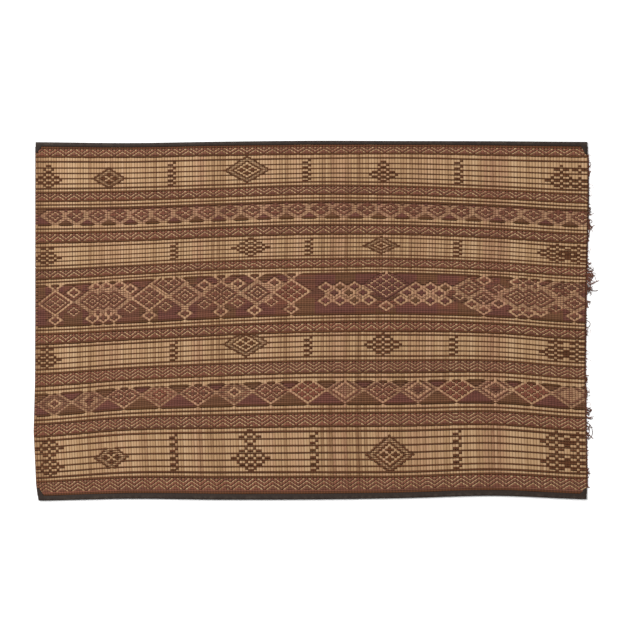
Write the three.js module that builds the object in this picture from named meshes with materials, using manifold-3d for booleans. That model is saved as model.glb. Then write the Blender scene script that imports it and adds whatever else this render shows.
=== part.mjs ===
// A Tuareg mat: reeds laid side by side, bound with dyed leather thongs, two long edges bound in dark leather.
// Millimetres, +Z up. The reeds run along Y and the thongs along X. The ragged thong ends are at +X.
// "Along" is measured from the mat's left end, "down" from its upper long edge, both with the mat lying flat.

import * as THREE from 'three';
import { mergeVertices } from 'three/addons/utils/BufferGeometryUtils.js';
import ManifoldModule from 'manifold-3d';

const wasm = await ManifoldModule();
wasm.setup();

// Driving dimensions

const MAT_LENGTH = 1220;
const MAT_WIDTH = 793;
const REED_COUNT = 193;
const REED_GROWTH = 0.076; // the reeds are this share thinner than the mean at the left end, and stouter at the right

const THONG_TOP = 5.6; // upper face of the packed thongs
const GROOVE_TOP = 4.7; // bare reeds seen between two thong bands
const REED_BACK = 4.9; // ridge of a bare reed
const REED_SEAM = 3.5; // valley between two bare reeds
const STEP_RUN = 0.8; // how far the edge of a thong band leans

const BINDING_WIDTH = 10;
const BINDING_LEATHER = 1.2;
const BINDING_TOP = 6;
const CORNER_MITRE = 14; // how far along the mat a corner return starts
const CORNER_TOE = 4; // width of a corner return at its foot
const SEAT = 4; // how far the bound edge runs on into the mat
const PIECE_GAP = 0.3;

const SELVEDGE_WIDTH = 3;
const SELVEDGE_TOP = 3.4;
const THONG_WIDTH = 2.4;
const THONG_THICK = 1.3;
const ROOT_DEPTH = 1; // how far a thong end starts inside the selvedge
const TIP_SHARE = 0.5; // width of a loose end's tip, as a share of the thong's
const TUFT_STEPS = 4;
const LOOP_STEPS = 10;
const RAGGED_STEPS = 2;
const SHORTEST_TUFT_END = 0.55; // as a share of the longest
const SHORTEST_RAGGED_END = 0.35;
const CUTTER_MARGIN = 1; // how far a cut runs on past what it cuts

const EDGE_STATIONS = 14;

// The mat has crept out of square. Each line across it starts at a distance down its left end,
// and bows up by these amounts at seven even stations along the mat.
const BOW = [
  { down: 0, left: 0, second: -2, third: 1, middle: 3, fifth: 2.5, sixth: 2, right: 0.5 },
  { down: 44, left: 0, second: -0.5, third: 4, middle: 7, fifth: 8.5, sixth: 4, right: -0.5 },
  { down: 104, left: 0, second: 2.5, third: 9, middle: 15.5, fifth: 13.5, sixth: 5.5, right: -4 },
  { down: 192, left: 0, second: 3, third: 11, middle: 17, fifth: 16, sixth: 8.5, right: -3.5 },
  { down: 320, left: 0, second: 12, third: 23, middle: 28, fifth: 29.5, sixth: 21.5, right: 8 },
  { down: 417, left: 0, second: 9, third: 19.5, middle: 27, fifth: 29, sixth: 23.5, right: 9.5 },
  { down: 551, left: 0, second: 15, third: 24, middle: 30, fifth: 31, sixth: 32.5, right: 17.5 },
  { down: 677, left: 0, second: 15.5, third: 18.5, middle: 21, fifth: 22.5, sixth: 26, right: 12.5 },
  { down: 744, left: 0, second: 12, third: 12, middle: 12.5, fifth: 13, sixth: 19, right: 9 },
  { down: 793, left: 0, second: 4, third: 2, middle: 2.5, fifth: 5.5, sixth: 10.5, right: 3 },
];

// Where the two short ends stand, from a true upright.
const ENDS = [
  { down: 0, left: 0, right: 0 },
  { down: 110, left: 0, right: 1 },
  { down: 380, left: 0, right: -5 },
  { down: 530, left: -0.5, right: -6 },
  { down: 640, left: -3.5, right: -4.5 },
  { down: 757, left: 2, right: -2 },
  { down: 793, left: 6.5, right: -1.5 },
];

// The bands down the mat, each by its lower edge: packed thongs, bare reeds, or a narrow groove of reeds.
const BANDS = [
  { kind: 'thongs', to: 34 },
  { kind: 'reeds', to: 110.5 },
  { kind: 'thongs', to: 132.5 },
  { kind: 'groove', to: 137.5 },
  { kind: 'thongs', to: 141.5 },
  { kind: 'groove', to: 146 },
  { kind: 'thongs', to: 185.5 },
  { kind: 'groove', to: 190.5 },
  { kind: 'thongs', to: 194.5 },
  { kind: 'groove', to: 199.5 },
  { kind: 'thongs', to: 225 },
  { kind: 'reeds', to: 282 },
  { kind: 'thongs', to: 305 },
  { kind: 'groove', to: 309.5 },
  { kind: 'thongs', to: 313.5 },
  { kind: 'groove', to: 318 },
  { kind: 'thongs', to: 410 },
  { kind: 'groove', to: 414.5 },
  { kind: 'thongs', to: 418.5 },
  { kind: 'groove', to: 423.5 },
  { kind: 'thongs', to: 449 },
  { kind: 'reeds', to: 511.5 },
  { kind: 'thongs', to: 542 },
  { kind: 'groove', to: 548 },
  { kind: 'thongs', to: 552.5 },
  { kind: 'groove', to: 558 },
  { kind: 'thongs', to: 607.5 },
  { kind: 'groove', to: 613 },
  { kind: 'thongs', to: 617.5 },
  { kind: 'groove', to: 622.5 },
  { kind: 'thongs', to: 653 },
  { kind: 'reeds', to: 749.5 },
  { kind: 'thongs', to: MAT_WIDTH - BINDING_WIDTH / 2 },
];

// Tufts of loose thong ends on the right-hand selvedge. Reach is the longest end's length, droop its fall,
// and fan how far the ends spread apart.
const TUFTS = [
  { down: 66, spread: 10, ends: 3, reach: 6, droop: 2, fan: 3 },
  { down: 148, spread: 20, ends: 5, reach: 12, droop: 5, fan: 6 },
  { down: 176, spread: 24, ends: 6, reach: 17, droop: 12, fan: 8 },
  { down: 212, spread: 16, ends: 4, reach: 8, droop: 4, fan: 4 },
  { down: 276, spread: 16, ends: 5, reach: 15, droop: -6, fan: 7 },
  { down: 303, spread: 30, ends: 9, reach: 33, droop: 22, fan: 14 },
  { down: 332, spread: 14, ends: 4, reach: 17, droop: 10, fan: 4 },
  { down: 367, spread: 16, ends: 5, reach: 12, droop: -3, fan: 5 },
  { down: 430, spread: 14, ends: 4, reach: 9, droop: 5, fan: 4 },
  { down: 538, spread: 14, ends: 4, reach: 10, droop: -3, fan: 4 },
  { down: 570, spread: 26, ends: 6, reach: 12, droop: 5, fan: 7 },
  { down: 612, spread: 26, ends: 6, reach: 18, droop: 11, fan: 7 },
  { down: 690, spread: 12, ends: 3, reach: 8, droop: 3, fan: 3 },
  { down: 738, spread: 18, ends: 5, reach: 9, droop: 4, fan: 4 },
];

// Thongs that leave the selvedge and turn back into it.
const LOOPS = [
  { down: 50, span: 11, reach: 9 },
  { down: 412, span: 16, reach: 13 },
  { down: 654, span: 28, reach: 17 },
];

const RAGGED_PITCH = 8.5; // spacing of the short ends that line the rest of the selvedge
const RAGGED_REACH = 6;
const TUFT_MARGIN = 5;

const REED_STRAW = new THREE.MeshStandardMaterial({ color: 0xb08b5a, roughness: 0.62, metalness: 0 });
const BLACK_LEATHER = new THREE.MeshStandardMaterial({ color: 0x2c2724, roughness: 0.55, metalness: 0 });
const BROWN_THONG = new THREE.MeshStandardMaterial({ color: 0x4a2c22, roughness: 0.6, metalness: 0 });

// Where things lie on the mat

const BOW_COLUMNS = ['left', 'second', 'third', 'middle', 'fifth', 'sixth', 'right'];

for (const line of BOW) {
  const points = BOW_COLUMNS.map((column, station) => new THREE.Vector2(station, line[column]));
  line.curve = new THREE.SplineCurve(points);
}

// The two table rows on either side of a distance down the mat, and how far it is from one to the other.
function rowsAround(table, down) {
  const last = table.length - 1;
  const found = table.findIndex((row) => row.down > down);
  const lower = found < 0 ? last : Math.max(found, 1);
  const [above, below] = [table[lower - 1], table[lower]];
  const share = (down - above.down) / (below.down - above.down);
  return { above, below, share };
}

function bowAt(along, down) {
  const { above, below, share } = rowsAround(BOW, down);
  const station = THREE.MathUtils.clamp(along / MAT_LENGTH, 0, 1);
  const [upper, under] = [above.curve.getPoint(station).y, below.curve.getPoint(station).y];
  return THREE.MathUtils.lerp(upper, under, share);
}

function endAt(side, down) {
  const { above, below, share } = rowsAround(ENDS, down);
  return THREE.MathUtils.lerp(above[side], below[side], share);
}

// A place on the mat in plan. The upper left corner is the plan's zero.
function place(along, down) {
  const shift = THREE.MathUtils.lerp(endAt('left', down), endAt('right', down), along / MAT_LENGTH);
  return new THREE.Vector2(along + shift, bowAt(along, down) - down);
}

// An uneven number from 0 to 1 that is always the same for the same place.
function uneven(seed) {
  const wave = Math.sin(seed * 12.9898) * 43758.5453;
  return wave - Math.floor(wave);
}

// Solids

function toSolid(geometry) {
  const bare = geometry.index ? geometry.toNonIndexed() : geometry.clone();
  bare.deleteAttribute('normal');
  bare.deleteAttribute('uv');
  const merged = mergeVertices(bare, 1e-4);
  const vertProperties = new Float32Array(merged.attributes.position.array);
  const triVerts = new Uint32Array(merged.index.array);
  return new wasm.Manifold(new wasm.Mesh({ numProp: 3, vertProperties, triVerts }));
}

function toMesh(name, solid, material) {
  const found = solid.getMesh();
  const geometry = new THREE.BufferGeometry();
  geometry.setAttribute('position', new THREE.BufferAttribute(found.vertProperties.slice(), 3));
  geometry.setIndex(new THREE.BufferAttribute(found.triVerts.slice(), 1));
  geometry.computeVertexNormals();
  const mesh = new THREE.Mesh(geometry, material);
  mesh.name = name;
  return mesh;
}

function plate(outline, bottom, top) {
  const geometry = new THREE.ExtrudeGeometry(new THREE.Shape(outline), {
    depth: top - bottom,
    bevelEnabled: false,
  });
  geometry.translate(0, 0, bottom);
  return toSolid(geometry);
}

function geometryOf(points, faces) {
  const geometry = new THREE.BufferGeometry();
  geometry.setAttribute('position', new THREE.Float32BufferAttribute(points.flat(), 3));
  geometry.setIndex(faces.flat());
  return geometry;
}

// The woven mat

// How far along the mat a number of reeds reaches, counted from the left.
function reedsReach(reeds) {
  const share = reeds / REED_COUNT;
  return MAT_LENGTH * share * (1 - REED_GROWTH + REED_GROWTH * share);
}

// Distances along the mat for one line of points: every reed's seam and ridge, or a few even steps.
function stationsOf(kind) {
  if (kind !== 'reeds') {
    return Array.from({ length: EDGE_STATIONS + 1 }, (_, i) => ({
      along: (MAT_LENGTH * i) / EDGE_STATIONS,
      ridge: false,
    }));
  }
  return Array.from({ length: REED_COUNT * 2 + 1 }, (_, i) => ({
    along: reedsReach(i / 2),
    ridge: i % 2 === 1,
  }));
}

function heightOf(kind, ridge) {
  if (kind === 'reeds') return ridge ? REED_BACK : REED_SEAM;
  return kind === 'groove' ? GROOVE_TOP : THONG_TOP;
}

// The lines of points that carry the mat's upper face, from the upper long edge to the lower one.
function faceLines() {
  const lines = [];
  let from = BINDING_WIDTH / 2;
  for (const [i, band] of BANDS.entries()) {
    const start = i === 0 ? from : from + STEP_RUN / 2;
    const end = i === BANDS.length - 1 ? band.to : band.to - STEP_RUN / 2;
    lines.push({ kind: band.kind, down: start }, { kind: band.kind, down: end });
    from = band.to;
  }
  return lines;
}

// Triangles between two neighbouring lines of points, which may hold different numbers of points.
function zip(upper, lower) {
  const faces = [];
  let [i, j] = [0, 0];
  while (i < upper.length - 1 || j < lower.length - 1) {
    const nextUpper = i < upper.length - 1 ? upper[i + 1].along : Infinity;
    const nextLower = j < lower.length - 1 ? lower[j + 1].along : Infinity;
    if (nextUpper <= nextLower) {
      faces.push([upper[i].index, lower[j].index, upper[i + 1].index]);
      i += 1;
    } else {
      faces.push([upper[i].index, lower[j].index, lower[j + 1].index]);
      j += 1;
    }
  }
  return faces;
}

function wovenSlab() {
  const points = [];
  const lines = faceLines().map(({ kind, down }) =>
    stationsOf(kind).map(({ along, ridge }) => {
      const { x, y } = place(along, down);
      points.push([x, y, heightOf(kind, ridge)]);
      return { along, index: points.length - 1 };
    }),
  );
  const faces = lines.slice(1).flatMap((line, i) => zip(lines[i], line));

  // The rim runs round the face anticlockwise, and its foot is the flat underside's outline.
  const [first, last] = [lines[0], lines[lines.length - 1]];
  const inner = lines.slice(1, -1);
  const rim = [
    ...last.map((p) => p.index),
    ...inner.map((line) => line[line.length - 1].index).reverse(),
    ...first.map((p) => p.index).reverse(),
    ...inner.map((line) => line[0].index),
  ];
  const foot = rim.map((index) => {
    const [x, y] = points[index];
    points.push([x, y, 0]);
    return points.length - 1;
  });
  rim.forEach((top, i) => {
    const next = (i + 1) % rim.length;
    faces.push([top, foot[i], foot[next]], [top, foot[next], rim[next]]);
  });
  const outline = foot.map((index) => new THREE.Vector2(points[index][0], points[index][1]));
  for (const [a, b, c] of THREE.ShapeUtils.triangulateShape(outline, [])) {
    faces.push([foot[c], foot[b], foot[a]]);
  }
  return toSolid(geometryOf(points, faces));
}

// The bindings

const EDGES = [
  { name: 'binding_top', downOf: (inward) => inward, leftReturn: 25, rightReturn: 28 },
  { name: 'binding_bottom', downOf: (inward) => MAT_WIDTH - inward, leftReturn: 29, rightReturn: 22 },
];

// A binding's outline, with a mitred return round each corner. Its outer side is moved out by one amount,
// and its inner side is moved in over the mat by another.
function bindingOutline(edge, outward, inward) {
  const corner = (along, depth) => place(along, edge.downOf(depth));
  const run = (from, to, depth) =>
    Array.from({ length: EDGE_STATIONS + 1 }, (_, i) =>
      corner(THREE.MathUtils.lerp(from, to, i / EDGE_STATIONS), depth),
    );
  const width = BINDING_WIDTH + inward;
  const outline = [
    corner(-outward, edge.leftReturn + inward),
    ...run(-outward, MAT_LENGTH + outward, -outward),
    corner(MAT_LENGTH + outward, edge.rightReturn + inward),
    corner(MAT_LENGTH - CORNER_TOE - inward, edge.rightReturn + inward),
    ...run(MAT_LENGTH - CORNER_MITRE - inward, CORNER_MITRE + inward, width),
    corner(CORNER_TOE + inward, edge.leftReturn + inward),
  ];
  return THREE.ShapeUtils.isClockWise(outline) ? outline.reverse() : outline;
}

// Leather folded over the mat's edge: an upper lap, a lower lap and the fold that joins them.
function bindingSolid(edge) {
  const body = plate(bindingOutline(edge, 0, 0), 0, BINDING_TOP);
  const inside = bindingOutline(edge, -BINDING_LEATHER, SEAT);
  return body.subtract(plate(inside, BINDING_LEATHER, BINDING_TOP - BINDING_LEATHER));
}

// The mat's edge is pressed thin where the binding holds it.
function wovenMat() {
  const pressed = BINDING_LEATHER + PIECE_GAP;
  let mat = wovenSlab();
  for (const edge of EDGES) {
    const cutter = bindingOutline(edge, BINDING_WIDTH, PIECE_GAP);
    mat = mat.subtract(plate(cutter, -CUTTER_MARGIN, BINDING_TOP + CUTTER_MARGIN));
    mat = mat.add(plate(bindingOutline(edge, -pressed, SEAT), pressed, BINDING_TOP - pressed));
  }
  return mat;
}

// The selvedge and its loose thong ends

function selvedgePlace(outward, down) {
  const base = place(MAT_LENGTH, down);
  return new THREE.Vector2(base.x + outward, base.y);
}

// A twisted thong runs down the mat's end beside the last reed, bending wherever the mat's edge does.
function selvedgeStrip() {
  const [top, bottom] = EDGES;
  const start = top.rightReturn + PIECE_GAP;
  const end = MAT_WIDTH - bottom.rightReturn - PIECE_GAP;
  const inner = faceLines().map(({ down }) => down).filter((down) => down > start && down < end);
  const side = (outward) => [start, ...inner, end].map((down) => selvedgePlace(outward, down));
  const outline = [...side(PIECE_GAP), ...side(PIECE_GAP + SELVEDGE_WIDTH).reverse()];
  return plate(outline, 0, SELVEDGE_TOP);
}

// A flat thong lying on the floor along a path, narrower towards its tip if it has a free one.
function thong(path, tipShare) {
  const points = [];
  const faces = [];
  path.forEach((at, i) => {
    const before = path[Math.max(i - 1, 0)];
    const after = path[Math.min(i + 1, path.length - 1)];
    const across = new THREE.Vector2(before.y - after.y, after.x - before.x).normalize();
    const half = (THONG_WIDTH / 2) * THREE.MathUtils.lerp(1, tipShare, i / (path.length - 1));
    for (const [side, height] of [[-1, 0], [1, 0], [1, THONG_THICK], [-1, THONG_THICK]]) {
      points.push([at.x + across.x * side * half, at.y + across.y * side * half, height]);
    }
    if (i === 0) return;
    for (let k = 0; k < 4; k += 1) {
      const [a, b] = [(i - 1) * 4 + k, (i - 1) * 4 + ((k + 1) % 4)];
      faces.push([a, b + 4, a + 4], [a, b, b + 4]);
    }
  });
  const tip = (path.length - 1) * 4;
  faces.push([0, 2, 1], [0, 3, 2]);
  faces.push([tip, tip + 1, tip + 2], [tip, tip + 2, tip + 3]);
  return toSolid(geometryOf(points, faces));
}

const ROOT_AT = PIECE_GAP + SELVEDGE_WIDTH - ROOT_DEPTH;

// A loose end leaves the selvedge squarely, and then falls away to one side.
function looseEnd(down, length, fallAt, steps) {
  const path = Array.from({ length: steps + 1 }, (_, i) => {
    const outward = length * (i / steps);
    const at = selvedgePlace(ROOT_AT + outward, down);
    at.y -= fallAt(outward);
    return at;
  });
  return thong(path, TIP_SHARE);
}

// The ends of one tuft fall side by side and open out, so that none crosses another.
function tuft({ down, spread, ends, reach, droop, fan }) {
  return Array.from({ length: ends }, (_, i) => {
    const side = i / (ends - 1) - 0.5;
    const root = down + spread * side;
    const length = ROOT_DEPTH + reach * THREE.MathUtils.lerp(SHORTEST_TUFT_END, 1, uneven(root));
    const fallAt = (outward) => droop * (outward / reach) ** 2 + fan * side * (outward / reach);
    return looseEnd(root, length, fallAt, TUFT_STEPS);
  });
}

function loop({ down, span, reach }) {
  const path = Array.from({ length: LOOP_STEPS + 1 }, (_, i) => {
    const turn = (Math.PI * i) / LOOP_STEPS;
    const out = ROOT_AT + (reach + ROOT_DEPTH - THONG_WIDTH / 2) * Math.sin(turn);
    return selvedgePlace(out, down - (span / 2) * Math.cos(turn));
  });
  return thong(path, 1);
}

// Short ends line the selvedge wherever no tuft or loop stands.
function raggedEnds() {
  const taken = [...TUFTS, ...LOOPS.map(({ down, span }) => ({ down, spread: span, fan: 0 }))];
  const [top, bottom] = EDGES;
  const start = top.rightReturn + TUFT_MARGIN;
  const end = MAT_WIDTH - bottom.rightReturn - TUFT_MARGIN;
  const ends = [];
  for (let down = start; down < end; down += RAGGED_PITCH) {
    const clear = taken.every((t) => Math.abs(down - t.down) > (t.spread + t.fan) / 2 + TUFT_MARGIN);
    const length = ROOT_DEPTH + RAGGED_REACH * THREE.MathUtils.lerp(SHORTEST_RAGGED_END, 1, uneven(down));
    const lean = uneven(down + 1) - 0.5;
    if (clear) ends.push(looseEnd(down, length, (outward) => lean * outward, RAGGED_STEPS));
  }
  return ends;
}

function thongFringe() {
  const ends = [...TUFTS.flatMap(tuft), ...LOOPS.map(loop), ...raggedEnds()];
  return ends.reduce((whole, end) => whole.add(end), selvedgeStrip());
}

// The whole part, set down with the middle of its footprint at the origin

const group = new THREE.Group();
group.add(toMesh('woven_mat', wovenMat(), REED_STRAW));
for (const edge of EDGES) {
  group.add(toMesh(edge.name, bindingSolid(edge), BLACK_LEATHER));
}
group.add(toMesh('thong_fringe', thongFringe(), BROWN_THONG));

const middle = new THREE.Box3().setFromObject(group).getCenter(new THREE.Vector3());
group.position.set(-middle.x, -middle.y, 0);

export default group;
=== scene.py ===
"""A Tuareg mat of straight reeds bound with dyed leather thongs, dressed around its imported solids."""

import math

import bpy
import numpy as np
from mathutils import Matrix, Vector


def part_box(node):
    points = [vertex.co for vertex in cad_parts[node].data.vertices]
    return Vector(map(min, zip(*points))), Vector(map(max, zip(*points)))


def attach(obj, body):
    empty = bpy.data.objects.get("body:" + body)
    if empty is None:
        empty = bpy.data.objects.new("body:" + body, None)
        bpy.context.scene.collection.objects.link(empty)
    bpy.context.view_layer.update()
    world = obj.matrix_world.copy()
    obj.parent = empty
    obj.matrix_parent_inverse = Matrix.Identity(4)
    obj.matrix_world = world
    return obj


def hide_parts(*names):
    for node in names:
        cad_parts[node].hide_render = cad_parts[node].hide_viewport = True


bl_info = {
    "name": "Tuareg mat",
    "version": (1, 0, 0),
    "blender": (4, 5, 0),
    "location": "View3D > Sidebar > Tuareg mat",
    "description": "Weaves a mat of reeds and leather thongs, with its bindings and its ragged end",
    "category": "Add Mesh",
}

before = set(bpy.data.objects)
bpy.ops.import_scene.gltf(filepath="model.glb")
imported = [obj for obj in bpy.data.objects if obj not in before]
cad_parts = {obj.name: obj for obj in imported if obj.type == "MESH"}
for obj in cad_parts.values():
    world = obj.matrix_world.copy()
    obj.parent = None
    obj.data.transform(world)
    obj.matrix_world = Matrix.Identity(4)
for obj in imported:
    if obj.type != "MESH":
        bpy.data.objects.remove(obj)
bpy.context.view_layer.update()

MM = 0.001

# The photograph's frame: the mat's upper left corner and the length of its upper edge, in pixels.
PHOTO_PIXELS = 640
PHOTO_CORNER_X = 35.8
PHOTO_CORNER_Y = 142.2
PHOTO_MAT_PIXELS = 551.2

# The mat's plan, in millimetres. "Along" runs from its left end and "down" from its upper long edge.

MAT_LENGTH = 1220.0
MAT_WIDTH = 793.0
REED_COUNT = 193
REED_GROWTH = 0.076

# The mat has crept out of square. Each line across it starts at a distance down its left end,
# and bows up by these amounts at seven even stations along the mat.
BOW = np.array((
    (0, 0, -2, 1, 3, 2.5, 2, 0.5),
    (44, 0, -0.5, 4, 7, 8.5, 4, -0.5),
    (104, 0, 2.5, 9, 15.5, 13.5, 5.5, -4),
    (192, 0, 3, 11, 17, 16, 8.5, -3.5),
    (320, 0, 12, 23, 28, 29.5, 21.5, 8),
    (417, 0, 9, 19.5, 27, 29, 23.5, 9.5),
    (551, 0, 15, 24, 30, 31, 32.5, 17.5),
    (677, 0, 15.5, 18.5, 21, 22.5, 26, 12.5),
    (744, 0, 12, 12, 12.5, 13, 19, 9),
    (793, 0, 4, 2, 2.5, 5.5, 10.5, 3),
))

# At each distance down, how far the left and the right end stand from a true upright.
ENDS = np.array((
    (0, 0, 0),
    (110, 0, 1),
    (380, 0, -5),
    (530, -0.5, -6),
    (640, -3.5, -4.5),
    (757, 2, -2),
    (793, 6.5, -1.5),
))

EDGE_STATIONS = 14


def spline(values, share):
    """A smooth curve through even stations, read at shares from 0 to 1 of its length."""
    last = len(values) - 1
    reach = np.clip(share, 0.0, 1.0) * last
    at = np.minimum(np.floor(reach).astype(int), last - 1)
    part = reach - at
    start = values[at]
    end = values[at + 1]
    before = values[np.maximum(at - 1, 0)]
    after = values[np.minimum(at + 2, last)]
    lean_in = (end - before) / 2
    lean_out = (after - start) / 2
    cubic = 2 * start - 2 * end + lean_in + lean_out
    square = 3 * end - 3 * start - 2 * lean_in - lean_out
    return cubic * part**3 + square * part**2 + lean_in * part + start


def bow_at(along, down):
    rises = np.array([spline(line[1:], along / MAT_LENGTH) for line in BOW])
    below = np.clip(np.searchsorted(BOW[:, 0], down, side="right"), 1, len(BOW) - 1)
    above = below - 1
    share = (down - BOW[above, 0]) / (BOW[below, 0] - BOW[above, 0])
    upper = np.take_along_axis(rises, above[None], 0)[0]
    under = np.take_along_axis(rises, below[None], 0)[0]
    return upper + (under - upper) * share


def find_origin():
    """Where the mat's upper left corner lies in the frame, from the box of the upper binding."""
    low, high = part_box("binding_top")
    stations = np.linspace(0.0, MAT_LENGTH, EDGE_STATIONS + 1)
    crown = bow_at(stations, np.zeros(EDGE_STATIONS + 1)).max()
    return low[0], high[1] - crown * MM


ORIGIN_X, ORIGIN_Y = find_origin()


def place(along, down, height):
    """Points of the frame, in metres, for places on the mat in millimetres."""
    along, down, height = np.broadcast_arrays(*(np.asarray(v, float) for v in (along, down, height)))
    left = np.interp(down, ENDS[:, 0], ENDS[:, 1])
    right = np.interp(down, ENDS[:, 0], ENDS[:, 2])
    x = along + left + (right - left) * along / MAT_LENGTH
    y = bow_at(along, down) - down
    return np.stack((ORIGIN_X + x * MM, ORIGIN_Y + y * MM, height * MM), -1)


def reeds_reach(reeds):
    """How far along the mat a number of reeds reaches, counted from the left."""
    share = np.asarray(reeds, float) / REED_COUNT
    return MAT_LENGTH * share * (1 - REED_GROWTH + REED_GROWTH * share)


def uneven(seed):
    """An uneven number from 0 to 1 that is always the same for the same seed."""
    wave = np.sin(np.asarray(seed, float) * 12.9898) * 43758.5453
    return wave - np.floor(wave)


def drift(places, seed, pitch):
    """A smooth wander from -1 to 1 that turns about once in each pitch."""
    at = np.asarray(places, float) / pitch
    step = np.floor(at)
    part = at - step
    ease = part * part * (3 - 2 * part)
    start = uneven(step + seed * 17.31)
    end = uneven(step + 1 + seed * 17.31)
    return (start + (end - start) * ease) * 2 - 1


def screen(red, green, blue):
    """A colour given as it looks on a screen, in bytes, as the linear numbers that a shader takes."""
    shares = [byte / 255 for byte in (red, green, blue)]
    return tuple(s / 12.92 if s <= 0.04045 else ((s + 0.055) / 1.055) ** 2.4 for s in shares)


# Sizes and colours that a user would change


def length(name, description, default):
    return bpy.props.FloatProperty(
        name=name, description=description, default=default, unit="LENGTH", subtype="DISTANCE"
    )


def colour(name, description, default):
    return bpy.props.FloatVectorProperty(
        name=name, description=description, default=default, size=3, min=0.0, max=1.0, subtype="COLOR"
    )


class ReedSettings(bpy.types.PropertyGroup):
    gap: length("Gap", "Space left between two reeds", 0.08 * MM)
    thickness: length("Thickness", "A reed's thickness, off the floor", 3.5 * MM)
    middle: length("Middle height", "Height of the reeds' middles off the floor", 2.8 * MM)
    waver: length("Waver", "How far a reed strays from a straight line", 0.25 * MM)
    pale: colour("Pale straw", "The palest reeds", screen(177, 146, 112))
    golden: colour("Golden straw", "Most of the reeds", screen(157, 124, 89))
    brown: colour("Brown straw", "The darkest reeds and streaks", screen(110, 76, 48))
    blush: colour("Reddened straw", "Reeds that the thongs' dye has stained", screen(160, 117, 92))


class ThongSettings(bpy.types.PropertyGroup):
    thickness: length("Thickness", "Thickness of a thong", 0.75 * MM)
    over: length("Height over a reed", "Height of a thong's middle where it crosses over", 5.0 * MM)
    under: length("Height under a reed", "Height of a thong's middle where it crosses under", 0.6 * MM)
    dip: length("Dip", "How far a thong sinks between two reeds that it crosses over", 0.45 * MM)
    seam: length("Height at a seam", "Height of a thong's middle where it dives between two reeds", 4.1 * MM)
    brown: colour("Brown", "Purple-brown dye", screen(98, 63, 48))
    red: colour("Red-brown", "Red-brown dye", screen(108, 65, 49))
    olive: colour("Olive", "Olive-brown dye", screen(96, 67, 42))
    maroon: colour("Maroon", "Maroon dye", screen(96, 56, 50))
    terracotta: colour("Terracotta", "The reddest dye", screen(116, 66, 50))
    line: colour("Line brown", "The single thongs that cross the bare reeds", screen(72, 42, 16))


class BindingSettings(bpy.types.PropertyGroup):
    leather: length("Leather", "Thickness of the leather", 1.1 * MM)
    top: length("Top", "Height of the binding's crown", 6.1 * MM)
    stitch_pitch: length("Stitch spacing", "Distance from one stitch to the next", 7 * MM)
    black: colour("Black", "Dyed leather", screen(37, 27, 21))
    # The colour of the painted sheen along the binding's crown.
    sheen_tint: colour("Worn", "Leather rubbed along the crown", screen(60, 50, 42))
    thread: colour("Thread", "Sewing thread", screen(30, 24, 21))


class FringeSettings(bpy.types.PropertyGroup):
    width: length("Thong width", "Width of a loose thong", 2.5 * MM)
    thickness: length("Thong thickness", "Thickness of a loose thong", 0.7 * MM)
    strands: bpy.props.IntProperty(
        name="Strands for each end", description="Loose thongs drawn for each end of a tuft", default=2, min=1
    )
    dark: colour("Dark", "Most of the loose thongs", screen(66, 43, 34))
    red: colour("Red", "The redder loose thongs", screen(118, 70, 52))


class StageSettings(bpy.types.PropertyGroup):
    floor: colour("Floor", "The pale floor", screen(250, 250, 250))
    light: bpy.props.FloatProperty(
        name="Lamp power", description="Power of the large soft lamp", default=366.0, unit="POWER"
    )
    sky: bpy.props.FloatProperty(name="Sky", description="Strength of the light from all round", default=0.56)
    lens: bpy.props.FloatProperty(
        name="Lens", description="Focal length", default=85.0, unit="CAMERA", subtype="DISTANCE_CAMERA"
    )


# Meshes


def new_object(name, points, quads, triangles=(), attributes=None, material=None):
    """An object of the frame with smooth faces and a number or a colour kept at each of its points."""
    mesh = bpy.data.meshes.new(name)
    corners = np.asarray(quads, np.int32).reshape(-1, 4)
    thirds = np.asarray(triangles, np.int32).reshape(-1, 3)
    indices = np.concatenate((corners.ravel(), thirds.ravel()))
    starts = np.concatenate((np.arange(len(corners)) * 4, len(corners) * 4 + np.arange(len(thirds)) * 3))
    mesh.vertices.add(len(points))
    mesh.vertices.foreach_set("co", np.asarray(points, np.float32).ravel())
    mesh.loops.add(len(indices))
    mesh.loops.foreach_set("vertex_index", indices)
    mesh.polygons.add(len(starts))
    mesh.polygons.foreach_set("loop_start", starts.astype(np.int32))
    mesh.polygons.foreach_set("use_smooth", np.ones(len(starts), bool))
    for key, values in (attributes or {}).items():
        values = np.asarray(values, np.float32)
        if values.ndim == 1:
            mesh.attributes.new(key, "FLOAT", "POINT").data.foreach_set("value", values)
        else:
            opaque = np.concatenate((values, np.ones((len(values), 1), np.float32)), 1)
            mesh.attributes.new(key, "FLOAT_COLOR", "POINT").data.foreach_set("color", opaque.ravel())
    mesh.update(calc_edges=True)
    mesh.validate()
    made = bpy.data.objects.new(name, mesh)
    bpy.context.scene.collection.objects.link(made)
    if material:
        mesh.materials.append(material)
    return made


def sweep(rings):
    """Points, quads and end triangles of a closed skin over rings, an array of stations by ring points."""
    stations, around = rings.shape[:2]
    first = np.arange(stations - 1)[:, None] * around
    here = np.arange(around)[None, :]
    ahead = (here + 1) % around
    quads = np.stack((first + here, first + ahead, first + around + ahead, first + around + here), -1)
    fan = np.arange(1, around - 1)
    last = (stations - 1) * around
    start = np.stack((np.zeros_like(fan), fan + 1, fan), -1)
    end = np.stack((np.full_like(fan, last), last + fan, last + fan + 1), -1)
    return rings.reshape(-1, 3), quads.reshape(-1, 4), np.concatenate((start, end))


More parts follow.
